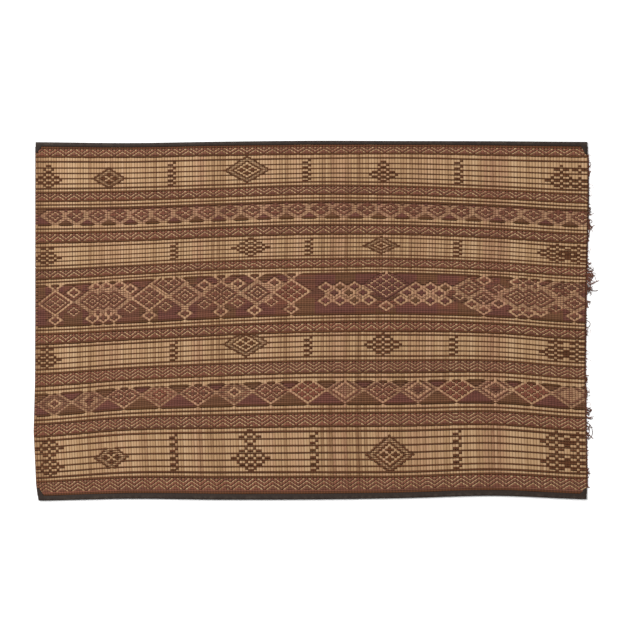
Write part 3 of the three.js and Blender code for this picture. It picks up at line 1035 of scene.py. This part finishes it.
SPLICE_REEDS = 46  # the length of one thong, before the next is spliced on
SPLICE_SHIFT = 3
SPLICE_WANDER = 0.25
BRIGHTNESS = (0.84, 0.32)  # of the dullest thong, and how much brighter the brightest is
LINE_BRIGHTNESS = (0.9, 0.2)  # and the same for single lines and the edges of bands
DYE_SHARE = 0.6  # how much of a patch's own dye its thongs take
LINE_SPREAD = 0.3  # how far a single line's dye strays towards the other thongs'
ROW_WANDER = 0.2  # how far a row strays from its line, in millimetres
ROW_JITTER = 0.1  # and what one bend can differ from the next by, besides
WIDTH_WANDER = 0.07  # and how much its width changes
WANDER_REEDS = 9
WIDTH_REEDS = 5
WIDTH_SEED = 300  # keeps the changes of a row's width apart from those of its place
THONG_SECTION = ((-1, 0), (0, 1), (1, 0), (0, -1))


def row_dyes_and_shade(row, number, counts, settings):
    """The dye of a row's thongs, spliced end to end and each dyed apart, with painted highlight and shade
    across each reed.
    """
    wander = SPLICE_WANDER * drift(counts, number, 37)
    spliced = np.floor(counts / SPLICE_REEDS + SPLICE_SHIFT * uneven(number) + wander)
    mix = uneven(spliced * 7.7 + number * 3.1)[:, None]
    brown, red, line = (np.array(tint) for tint in (settings.brown, settings.red, settings.line))
    dye = brown + (red - brown) * mix
    patch = row["tint"][np.clip(np.floor(counts), 0, REED_COUNT - 1).astype(int)][:, None]
    for tint, colour_of in ((OLIVE, settings.olive), (MAROON, settings.maroon), (RED, settings.terracotta)):
        taken = DYE_SHARE * np.array(colour_of) + (1 - DYE_SHARE) * dye
        dye = np.where(patch == tint, taken, dye)
    dullest, spread = BRIGHTNESS
    if row["edge"] or row["line"]:
        dye = line + LINE_SPREAD * (dye - line)
        dullest, spread = LINE_BRIGHTNESS
    value = dullest + spread * uneven(spliced * 5.3 + number * 1.9)
    # Painted highlight on each thong's crown over a reed, and painted shade where it dips at each seam.
    from_middle = np.abs(counts - np.floor(counts) - 0.5)
    return dye * (row["shade"] * value * np.interp(from_middle, *CROWN_LIGHT_SEAM_SHADE))[:, None]


def thong_rings(row, number, settings):
    """Rings of one row's strip, of four points each, and the dye at each ring with its painted highlight and
    shade.
    """
    counts, heights, shifts, widths = row_stations(row, settings)
    along = reeds_reach(counts)
    wander = ROW_WANDER * drift(counts, number, WANDER_REEDS)
    down = row["down"] + shifts + wander + ROW_JITTER * (uneven(counts + number) - 0.5)
    half = row["half"] * widths * (1 + WIDTH_WANDER * drift(counts, number + WIDTH_SEED, WIDTH_REEDS))
    thick = settings.thickness / MM / 2
    height = pressed(along, down, heights, PRESSED_THONG)
    rings = [place(along, down + half * side, height + thick * lift) for side, lift in THONG_SECTION]
    return np.stack(rings, 1), row_dyes_and_shade(row, number, counts, settings)


# The woven pieces, each with its first band and the band after its last.
PIECES = (
    ("upper_thongs", 0, 6),
    ("upper_middle_thongs", 6, 16),
    ("central_thongs", 16, 17),
    ("lower_middle_thongs", 17, 26),
    ("lower_thongs", 26, 33),
)


# Reeds

# Stations down a reed: close together at its two ends, where the bindings press it, and even between.
REED_HEAD = (5.0, 9.0, 11.5, 25.0)
REED_BODY = (40.0, 753.0)
REED_FOOT = (768.0, 781.5, 784.0, 788.0)
REED_STATIONS = 24
STAINED = ((147.0, 185.0), (319.0, 409.5), (559.0, 607.0))  # where the dye has run on to the reeds
REED_PROFILE = np.array((
    (1.0, 0.0), (0.96, 0.6), (0.72, 0.92), (0.0, 1.0), (-0.72, 0.92),
    (-0.96, 0.6), (-1.0, 0.0), (-0.7, -0.85), (0.0, -1.0), (0.7, -0.85),
))
REED_WIDTHS = (0.965, 0.035, 0.02)  # the narrowest reed's share, what others add, and the change down a reed
REED_SWELL = 0.05  # how much a reed's thickness changes down its length
REED_RISE = 0.12  # and how far its height does, in millimetres
STAIN_EDGE = 1.0
STAIN_TONE = 0.14
BLUSH_SHARE = 0.5
REED_TONE = 0.42  # how far one reed's tone can differ from the next one's
BUNDLE_TONE = 0.16  # how far a bundle of about seven reeds can stray from the mean
ALONG_TONE = 0.12  # and how far the tone can stray down a reed


def reed_rings(reed, settings):
    """Rings of one reed down the mat, and along them its tone and how red the dye has stained it."""
    edges = [(edge - STAIN_EDGE, edge + STAIN_EDGE) for span in STAINED for edge in span]
    body = np.linspace(*REED_BODY, REED_STATIONS)
    downs = np.sort(np.concatenate((REED_HEAD, body, np.ravel(edges), REED_FOOT)))
    left, right = reeds_reach([reed, reed + 1])
    stray = settings.waver / MM * drift(downs, reed, 90)
    middle = (left + right) / 2 + stray
    half = (right - left - settings.gap / MM) / 2
    narrowest, wider, change = REED_WIDTHS
    half = half * (narrowest + wider * uneven(reed * 3.3) + change * drift(downs, reed + 400, 60))
    thick = settings.thickness / MM / 2 * (1 + REED_SWELL * drift(downs, reed + 800, 70))
    height = settings.middle / MM + REED_RISE * drift(downs, reed + 1200, 120)
    along = middle[:, None] + half[:, None] * REED_PROFILE[:, 0]
    lift = height[:, None] + thick[:, None] * REED_PROFILE[:, 1]
    lift = pressed(along, downs[:, None] + 0 * along, lift, PRESSED_REED)
    rings = place(along, downs[:, None], lift)
    stained = 0.0
    for top, foot in STAINED:
        slopes = (top - STAIN_EDGE, top + STAIN_EDGE, foot - STAIN_EDGE, foot + STAIN_EDGE)
        stained = stained + np.interp(downs, slopes, (0, 1, 1, 0))
    tone = 0.5 + REED_TONE * (uneven(reed * 1.7) - 0.5) + BUNDLE_TONE * drift(reed, 5, 7)
    tone = tone + ALONG_TONE * drift(downs, reed + 50, 110) - STAIN_TONE * stained
    scattered = np.clip(drift(reed, 21, 5) + 0.5 * drift(downs, reed + 60, 160), 0.0, 1.0)
    return rings, tone, BLUSH_SHARE * scattered + BLUSH_SHARE * stained


# Bindings

CORNER_MITRE = 14.0  # how far along from each corner the leather starts to reach in deeper
CORNER_TOE = 4.0  # and from where on it reaches in as deep as it goes
WAVER_COUNT = 62
WAVER_STATIONS = np.linspace(0.0, MAT_LENGTH, WAVER_COUNT)
UPPER_WAVER = 0.35 * drift(np.arange(WAVER_COUNT), 71, 2.3)
LOWER_WAVER = 0.45 * drift(np.arange(WAVER_COUNT), 72, 2.3)
# How far the leather reaches in, along the edge and at its two corners.
UPPER_EDGE = {"reach": 10.0, "left": 25.0, "right": 28.0, "waver": UPPER_WAVER}
LOWER_EDGE = {"reach": 11.2, "left": 29.0, "right": 22.0, "waver": LOWER_WAVER}

# The leather's section: shares of its reach in from the edge, and heights as shares of its crown.
# It runs from the upper lip over the crown and the fold to the lower lip, then back along the inside.
OUTSIDE = (
    (1.0, 0.80), (0.93, 0.89), (0.8, 0.93), (0.62, 0.965), (0.42, 1.0), (0.25, 0.99), (0.12, 0.92),
    (0.04, 0.76), (0.0, 0.5), (0.035, 0.22), (0.13, 0.05), (0.35, 0.0), (0.7, 0.0), (1.0, 0.0),
)
UPPER_FACE = 8  # points of the section that lie on the upper face
PUCKERED = 6  # and those that the stitches pull down
PUCKER = 0.28  # how far down, in millimetres
PUCKER_MIDDLE = 0.88
PUCKER_SPREAD = 0.14
LONG_SWELL = 0.14  # how far the upper face rises and falls along the binding, in millimetres
SHORT_SWELL = 0.07
SWELL_START = 0.15
INSIDE_STEP = 2  # the inside of the fold has every second point of the outside
THINNEST_STEP = 1e-6  # keeps a division clear of nought
# The painted sheen along the binding's crown: where it is brightest and how far it spreads, in millimetres in
# from the edge.
SHEEN_MIDDLE = 4.0
SHEEN_SPREAD = 3.0
SHEEN_AMOUNT = (0.75, 0.25)  # how strongly, and how far that changes along the binding
END_FLATTENED = 0.35  # the binding's thickness at its very end, as a share of the rest
LOWEST = 0.02  # nothing folded or loose goes lower over the floor, in millimetres
END_STATIONS = (0.0, 0.12, 0.45, 1.0, 1.8, 3.0)
END_ROUND = 3.0
STATION_PITCH = 1.0


def binding_stations():
    """Places along a binding: close together at its two rounded ends and even between them."""
    ends = np.array(END_STATIONS)
    even = np.arange(END_ROUND + STATION_PITCH, MAT_LENGTH - END_ROUND, STATION_PITCH)
    return np.concatenate((ends, even, MAT_LENGTH - ends[::-1]))


def binding_rings(edge, lower, settings):
    """Rings of one binding along its long edge, and how much painted sheen each point has."""
    along = binding_stations()
    reach = binding_reach(along, edge)
    nominal = edge["reach"]
    share, crown = np.array(OUTSIDE).T
    crown = crown * settings.top / MM
    pucker = np.cos(along / (settings.stitch_pitch / MM) * math.tau) * 0.5 + 0.5
    swell = LONG_SWELL * drift(along, 77 + lower, 23) + SHORT_SWELL * drift(along, 79 + lower, 6)
    depth = np.empty((len(along), len(share)))
    height = np.empty_like(depth)
    for k, (part, level) in enumerate(zip(share, crown)):
        depth[:, k] = nominal * part + (reach - nominal) * part**3
        height[:, k] = level
        if k < PUCKERED:
            height[:, k] -= PUCKER * pucker * math.exp(-((part - PUCKER_MIDDLE) / PUCKER_SPREAD) ** 2)
        if k < UPPER_FACE:
            height[:, k] += swell * math.sin(math.pi * min(part + SWELL_START, 1.0))
    leather = settings.leather / MM
    steps = np.gradient(np.stack((depth, height)), axis=2)
    normal = np.stack((steps[1], -steps[0])) / np.maximum(np.hypot(*steps), THINNEST_STEP)
    inner_depth = depth - leather * normal[0]
    inner_height = height - leather * normal[1]
    keep = slice(None, None, -INSIDE_STEP)
    depth = np.concatenate((depth, inner_depth[:, keep]), 1)
    height = np.concatenate((height, inner_height[:, keep]), 1)
    near_end = np.minimum(along, MAT_LENGTH - along) / END_ROUND
    squeeze = np.sqrt(1 - (1 - np.clip(near_end, 0.0, 1.0)) ** 2)
    middle = settings.top / MM / 2
    height = middle + (height - middle) * (END_FLATTENED + (1 - END_FLATTENED) * squeeze)[:, None]
    height = np.maximum(height, LOWEST)
    down = MAT_WIDTH - depth if lower else depth
    rings = place(along[:, None], down, height)
    # The painted sheen: strongest a little in from the edge, on the upper half of the leather only.
    sheen = np.exp(-((depth - SHEEN_MIDDLE) / SHEEN_SPREAD) ** 2) * (height > middle)
    strength, change = SHEEN_AMOUNT
    sheen = sheen * (strength + change * drift(along, 91 + lower, 31)[:, None])
    if not lower:
        rings = rings[:, ::-1]
        sheen = sheen[:, ::-1]
    return rings, sheen


STITCH_DEPTH = 1.7  # out from the binding's lip
STITCH_LENGTH = 3.2
STITCH_THICK = 0.32
STITCH_FLATNESS = 0.8
STITCH_STRAY = 0.5
STITCH_SIDES = 5
STITCH_STATIONS = 6
STITCH_ARCH = 0.42
STITCH_HEIGHT = 0.9  # of the middle of a stitch, as a share of the binding's crown


def stitch_rings(along, edge, lower, settings):
    """Rings of one running stitch near a binding's upper lip."""
    run = np.linspace(-1.0, 1.0, STITCH_STATIONS)
    at = along + run * STITCH_LENGTH / 2
    depth = binding_reach(at, edge) - STITCH_DEPTH
    down = MAT_WIDTH - depth if lower else depth
    height = settings.top / MM * STITCH_HEIGHT + STITCH_ARCH * (1 - run**2) - STITCH_ARCH
    turn = np.arange(STITCH_SIDES) / STITCH_SIDES * math.tau
    across = down[:, None] + STITCH_FLATNESS * STITCH_THICK * np.cos(turn)
    lift = height[:, None] + STITCH_THICK * np.sin(turn)
    return place(at[:, None], across, lift)


# The ragged end

# Loose thong ends, in millimetres: down the mat, spread, ends, reach, droop and fan.
TUFTS = (
    (66, 10, 3, 8, 2, 3),
    (148, 20, 5, 13, 5, 6),
    (176, 24, 7, 17, 12, 8),
    (208, 20, 5, 9, 4, 4),
    (276, 16, 5, 15, -6, 7),
    (298, 28, 13, 21, 12, 12),
    (312, 34, 7, 35, 22, 16),
    (332, 18, 6, 19, 8, 8),
    (367, 16, 6, 13, -3, 5),
    (430, 14, 4, 10, 5, 4),
    (540, 16, 5, 10, -3, 4),
    (570, 26, 7, 12, 5, 7),
    (612, 26, 7, 18, 11, 7),
    (648, 40, 6, 17, 12, 8),
    (738, 18, 4, 9, 4, 4),
)
# Loops: down the mat, span and reach.
LOOPS = ((50, 11, 9), (412, 16, 13), (652, 34, 17), (648, 18, 10))
LOOP_SHARE = 0.5
LOOP_SKEW = 2.5  # how much each loop leans further down the mat than the one before
LOOP_LYING = 0.6
LOOP_RISE = 1.2
LOOP_STATIONS = 25
SELVEDGE_FROM = 28.3
SELVEDGE_TO = 770.7
SELVEDGE_MIDDLE = 2.2
SELVEDGE_HEIGHT = 1.75
SELVEDGE_RADIUS = 0.7
SELVEDGE_PITCH = 7.0
SELVEDGE_SIDES = 6
SELVEDGE_THONG = (0.75, 0.6)  # half the width and half the thickness of a twisted thong
SELVEDGE_TURN_STATIONS = 10
RAGGED_PITCH = 9.2
RAGGED_REACH = 6.0
RAGGED_DROOP = 4
RAGGED_CURL = 3
RAGGED_TAPER = 0.3
STRAND_STATIONS = 15
STRAND_SLACK = 1.12  # a strand's length, as a share of the straight way to its end
STRAND_SWAY = 0.9
STRAND_START = 1.2  # a strand starts this far inside the middle of the twisted thongs
NEAREST = 0.6  # and comes no nearer to the last reed than this
STRAND_SECTION = ((-1, 0), (-0.6, 1), (0.6, 1), (1, 0), (0.6, -1), (-0.6, -1))
LYING_HEIGHT = 0.45  # of a strand's middle, once it has come down to the floor
START_HEIGHT = 2.0  # how much higher it starts
HUMP_HEIGHT = 1.6  # and the most that it rises again half way
DROP_RATE = 5.0
TUFT_CURL = 6.4
TUFT_TAPER = 0.35
TUFT_RED = 0.7  # the most red that a strand of a tuft has
HAIR_COUNT = 20
HAIR_SHARE = 0.2
HAIR_CURL = 2.5
HAIR_DROOP = 9
FIRST_SEED = 500.0
SEED_STEP = 1.618


def strand_rings(across, down, height, width, thick):
    """Rings of a flat strand along a path, in millimetres beyond the mat's end and down it."""
    step_x = np.gradient(across)
    step_y = np.gradient(down)
    size = np.maximum(np.hypot(step_x, step_y), THINNEST_STEP)
    side_x = -step_y / size * width / 2
    side_y = step_x / size * width / 2
    points = []
    for side, lift in STRAND_SECTION:
        level = np.maximum(height + lift * thick / 2, LOWEST)
        points.append(place(MAT_LENGTH + across + side * side_x, down + side * side_y, level))
    return np.stack(points, 1)


def loose_strand(seed, down, reach, droop, curl):
    """The path of one loose thong from the last reed down on to the floor, and shares of its length."""
    share = np.linspace(0.0, 1.0, STRAND_STATIONS)
    sway = STRAND_SWAY * uneven(seed + 4.2) * np.sin(share * 5 + seed)
    heading = math.atan2(droop, reach) + curl * (share - 0.2) + sway
    step = math.hypot(reach, droop) * STRAND_SLACK / (STRAND_STATIONS - 1)
    across = SELVEDGE_MIDDLE - STRAND_START + np.concatenate(([0.0], np.cumsum(np.cos(heading[1:]) * step)))
    fall = down + np.concatenate(([0.0], np.cumsum(np.sin(heading[1:]) * step)))
    drop = np.exp(-share * DROP_RATE)
    hump = HUMP_HEIGHT * uneven(seed + 9.1) * np.sin(np.pi * share) * (1 - drop)
    return (np.maximum(across, NEAREST), fall, LYING_HEIGHT + START_HEIGHT * drop + hump), share


def selvedge_rings(phase):
    """Rings of one of the two twisted thongs beside the last reed."""
    wide, thick = SELVEDGE_THONG
    down = np.arange(SELVEDGE_FROM, SELVEDGE_TO, SELVEDGE_PITCH / SELVEDGE_TURN_STATIONS)
    turn = down / SELVEDGE_PITCH * math.tau + phase + 0.7 * drift(down, 5, 60)
    across = SELVEDGE_MIDDLE + SELVEDGE_RADIUS * np.cos(turn) + 0.25 * drift(down, 8, 40)
    height = SELVEDGE_HEIGHT + SELVEDGE_RADIUS * np.sin(turn)
    around = np.arange(SELVEDGE_SIDES) / SELVEDGE_SIDES * math.tau
    along = MAT_LENGTH + across[:, None] + wide * np.cos(around)
    return place(along, down[:, None], height[:, None] + thick * np.sin(around))[:, ::-1]


def dyed(settings, share):
    """A dye between the dark and the red of the loose thongs."""
    dark = np.array(settings.dark)
    return dark + (np.array(settings.red) - dark) * share


def short_ends(settings):
    """The short ends that line the selvedge: each one's path, width and share of red."""
    for number, down in enumerate(np.arange(SELVEDGE_FROM + 4, SELVEDGE_TO - 2, RAGGED_PITCH)):
        reach = RAGGED_REACH * (0.35 + 0.65 * uneven(number * 2.7))
        droop = RAGGED_DROOP * (uneven(number * 4.1) - 0.4)
        curl = RAGGED_CURL * (uneven(number * 1.3) - 0.5)
        path, share = loose_strand(number, down, reach, droop, curl)
        yield path, settings.width / MM * (1 - RAGGED_TAPER * share), uneven(number * 6.1)


def tuft_ends(settings):
    """The strands of every tuft, in the same form."""
    seed = FIRST_SEED
    for down, spread, ends, reach, droop, fan in TUFTS:
        count = ends * settings.strands
        for number in range(count):
            seed += SEED_STEP
            start = down + spread * ((number + uneven(seed)) / count - 0.5)
            far = reach * (0.35 + 0.6 * uneven(seed * 1.7))
            lean = droop * uneven(seed * 2.9) + fan * (uneven(seed * 3.7) - 0.5)
            curl = TUFT_CURL * (uneven(seed * 5.3) - 0.5)
            path, share = loose_strand(seed, start, far, lean, curl)
            width = settings.width / MM * (0.35 + 0.65 * uneven(seed * 7.9)) * (1 - TUFT_TAPER * share)
            yield path, width, TUFT_RED * uneven(seed * 8.3)


def loops(settings):
    """The thongs whose two ends are both caught in the selvedge, in the same form."""
    for number, (down, span, reach) in enumerate(LOOPS):
        turn = np.linspace(-math.pi / 2, math.pi / 2, LOOP_STATIONS)
        across = SELVEDGE_MIDDLE - 1 + (reach - SELVEDGE_MIDDLE) * np.cos(turn) ** 0.8
        fall = down + span / 2 * np.sin(turn) + LOOP_SKEW * np.cos(turn) * (number - 1)
        height = LOOP_LYING + LOOP_RISE * np.abs(np.sin(turn)) ** 4
        yield (across, fall, height), settings.width / MM * LOOP_SHARE, 0.0


def hairs(settings):
    """Fine torn threads of leather all down the selvedge, in the same form."""
    for number in range(HAIR_COUNT):
        down = SELVEDGE_FROM + (SELVEDGE_TO - SELVEDGE_FROM) * uneven(number * 9.7)
        reach = 8 + 12 * uneven(number * 3.3)
        droop = HAIR_DROOP * (uneven(number) - 0.5)
        path, _ = loose_strand(number * 1.9, down, reach, droop, HAIR_CURL)
        yield path, settings.width / MM * HAIR_SHARE, 1.0


# The operators


class MAT_OT_reeds(bpy.types.Operator):
    """Lay the reeds side by side"""

    bl_idname = "tuareg_mat.reeds"
    bl_label = "Reeds"

    def execute(self, context):
        settings = context.scene.mat_reeds
        laid = Gathered()
        for reed in range(REED_COUNT):
            rings, tone, blush = reed_rings(reed, settings)
            laid.add(rings, tone=tone, blush=blush)
        reeds = laid.made("reeds", reed_straw(settings))
        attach(reeds, "root")
        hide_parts("woven_mat")
        return {"FINISHED"}


class MAT_OT_thongs(bpy.types.Operator):
    """Weave the rows of thong over and under the reeds"""

    bl_idname = "tuareg_mat.thongs"
    bl_label = "Thongs"

    def execute(self, context):
        settings = context.scene.mat_thongs
        leather = thong_leather("thong leather")
        rows = weave_rows()
        for name, first, last in PIECES:
            woven = Gathered()
            for number, row in enumerate(rows):
                if first <= row["band"] < last:
                    rings, dyes_and_shade = thong_rings(row, number, settings)
                    woven.add(rings, dye=dyes_and_shade)
            piece = woven.made(name, leather)
            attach(piece, "root")
            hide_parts("woven_mat")
        return {"FINISHED"}


class MAT_OT_bindings(bpy.types.Operator):
    """Fold and sew the black leather over both long edges"""

    bl_idname = "tuareg_mat.bindings"
    bl_label = "Bindings"

    def execute(self, context):
        settings = context.scene.mat_bindings
        leather = binding_leather(settings)
        pitch = settings.stitch_pitch / MM
        stitches = Gathered()
        for name, edge, lower in (("binding_top", UPPER_EDGE, False), ("binding_bottom", LOWER_EDGE, True)):
            rings, sheen = binding_rings(edge, lower, settings)
            folded = Gathered()
            folded.add_at_points(rings, crown=sheen)
            binding = folded.made(name.replace("binding", "leather"), leather)
            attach(binding, "root")
            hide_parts(name)
            for along in np.arange(2.5 * pitch, MAT_LENGTH - 2 * pitch, pitch):
                middle = along + STITCH_STRAY * (uneven(along) - 0.5)
                stitches.add(stitch_rings(middle, edge, lower, settings))
        sewn = stitches.made("binding_stitches", thread(settings))
        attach(sewn, "root")
        return {"FINISHED"}


class MAT_OT_fringe(bpy.types.Operator):
    """Lay the twisted last thong and the loose thong ends beside the last reed"""

    bl_idname = "tuareg_mat.fringe"
    bl_label = "Ragged end"

    def execute(self, context):
        settings = context.scene.mat_fringe
        thick = settings.thickness / MM
        twisted = Gathered()
        for phase in (0.0, math.pi):
            rings = selvedge_rings(phase)
            share = 0.5 + 0.5 * drift(np.arange(len(rings)), 31 + phase, 90)
            twisted.add(rings, dye=dyed(settings, share[:, None]))
        loose = Gathered()
        for gathered, kind, thickness in (
            (twisted, short_ends, thick),
            (loose, tuft_ends, thick),
            (loose, loops, thick),
            (loose, hairs, thick * HAIR_SHARE),
        ):
            for path, width, red in kind(settings):
                gathered.add(strand_rings(*path, width, thickness), dye=[dyed(settings, red)])
        leather = thong_leather("loose thong leather")
        for name, gathered in (("twisted_end", twisted), ("loose_ends", loose)):
            piece = gathered.made(name, leather)
            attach(piece, "root")
            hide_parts("thong_fringe")
        return {"FINISHED"}


class MAT_OT_sheet(bpy.types.Operator):
    """Gather the names of the reeds, thongs, bindings and loose ends; nothing is done with them"""

    bl_idname = "tuareg_mat.sheet"
    bl_label = "One laid sheet"

    def execute(self, context):
        names = [name for name, _, _ in PIECES]
        names += ["leather_top", "leather_bottom", "binding_stitches", "twisted_end", "loose_ends"]
        return {"FINISHED"}


FLOOR_HALF = 4.0
FLOOR_ROUGHNESS = 0.9
FLOOR_LEVEL = -0.0003  # just under the mat, so that the two never lie in one plane
LAMP_PLACE = (-2.5, 2.35, 4.05)
LAMP_TILT = (math.radians(-30), math.radians(-31), 0)
LAMP_SIZE = 3.7
FAR_CLIP = 50


class MAT_OT_stage(bpy.types.Operator):
    """Set up the floor, the lamp and the camera straight above the mat"""

    bl_idname = "tuareg_mat.stage"
    bl_label = "Stage"

    def execute(self, context):
        settings = context.scene.mat_stage
        turns = ((-1, -1), (1, -1), (1, 1), (-1, 1))
        corners = [(FLOOR_HALF * x, FLOOR_HALF * y, FLOOR_LEVEL) for x, y in turns]
        pale = plain("floor", settings.floor, FLOOR_ROUGHNESS)
        floor = new_object("floor", corners, [(0, 1, 2, 3)], material=pale)
        lamp = bpy.data.lights.new("soft lamp", "AREA")
        lamp.shape = "DISK"
        lamp.size = LAMP_SIZE
        lamp.energy = settings.light
        hung = bpy.data.objects.new("soft lamp", lamp)
        hung.location = LAMP_PLACE
        hung.rotation_euler = LAMP_TILT
        context.scene.collection.objects.link(hung)
        world = bpy.data.worlds.new("pale room")
        world.use_nodes = True
        light = world.node_tree.nodes["Background"].inputs
        light["Color"].default_value = (1, 1, 1, 1)
        light["Strength"].default_value = settings.sky
        context.scene.world = world
        context.scene.view_settings.view_transform = "Standard"
        camera = bpy.data.cameras.new("camera")
        camera.lens = settings.lens
        camera.clip_end = FAR_CLIP
        stand = bpy.data.objects.new("camera", camera)
        pixel = MAT_LENGTH / PHOTO_MAT_PIXELS * MM
        x = ORIGIN_X + (PHOTO_PIXELS / 2 - PHOTO_CORNER_X) * pixel
        y = ORIGIN_Y - (PHOTO_PIXELS / 2 - PHOTO_CORNER_Y) * pixel
        stand.location = (x, y, PHOTO_PIXELS * pixel * settings.lens / camera.sensor_width)
        context.scene.collection.objects.link(stand)
        context.scene.camera = stand
        return {"FINISHED"}


class MAT_PT_panel(bpy.types.Panel):
    """The mat's settings and the buttons that make it"""

    bl_idname = "MAT_PT_panel"
    bl_label = "Tuareg mat"
    bl_space_type = "VIEW_3D"
    bl_region_type = "UI"
    bl_category = "Tuareg mat"

    def draw(self, context):
        for maker in MAKERS:
            self.layout.operator(maker.bl_idname)
        for name, settings in SETTINGS:
            box = self.layout.box()
            for key in settings.__annotations__:
                box.prop(getattr(context.scene, "mat_" + name), key)


SETTINGS = (
    ("reeds", ReedSettings),
    ("thongs", ThongSettings),
    ("bindings", BindingSettings),
    ("fringe", FringeSettings),
    ("stage", StageSettings),
)
MAKERS = (MAT_OT_stage, MAT_OT_reeds, MAT_OT_thongs, MAT_OT_bindings, MAT_OT_fringe, MAT_OT_sheet)


def register():
    for _, settings in SETTINGS:
        bpy.utils.register_class(settings)
    for maker in MAKERS:
        bpy.utils.register_class(maker)
    bpy.utils.register_class(MAT_PT_panel)
    for name, settings in SETTINGS:
        setattr(bpy.types.Scene, "mat_" + name, bpy.props.PointerProperty(type=settings))


def unregister():
    for name, _ in SETTINGS:
        delattr(bpy.types.Scene, "mat_" + name)
    bpy.utils.unregister_class(MAT_PT_panel)
    for maker in reversed(MAKERS):
        bpy.utils.unregister_class(maker)
    for _, settings in reversed(SETTINGS):
        bpy.utils.unregister_class(settings)


def main():
    register()
    bpy.ops.tuareg_mat.stage()
    bpy.ops.tuareg_mat.reeds()
    bpy.ops.tuareg_mat.thongs()
    bpy.ops.tuareg_mat.bindings()
    bpy.ops.tuareg_mat.fringe()
    bpy.ops.tuareg_mat.sheet()


if __name__ == "__main__":
    main()
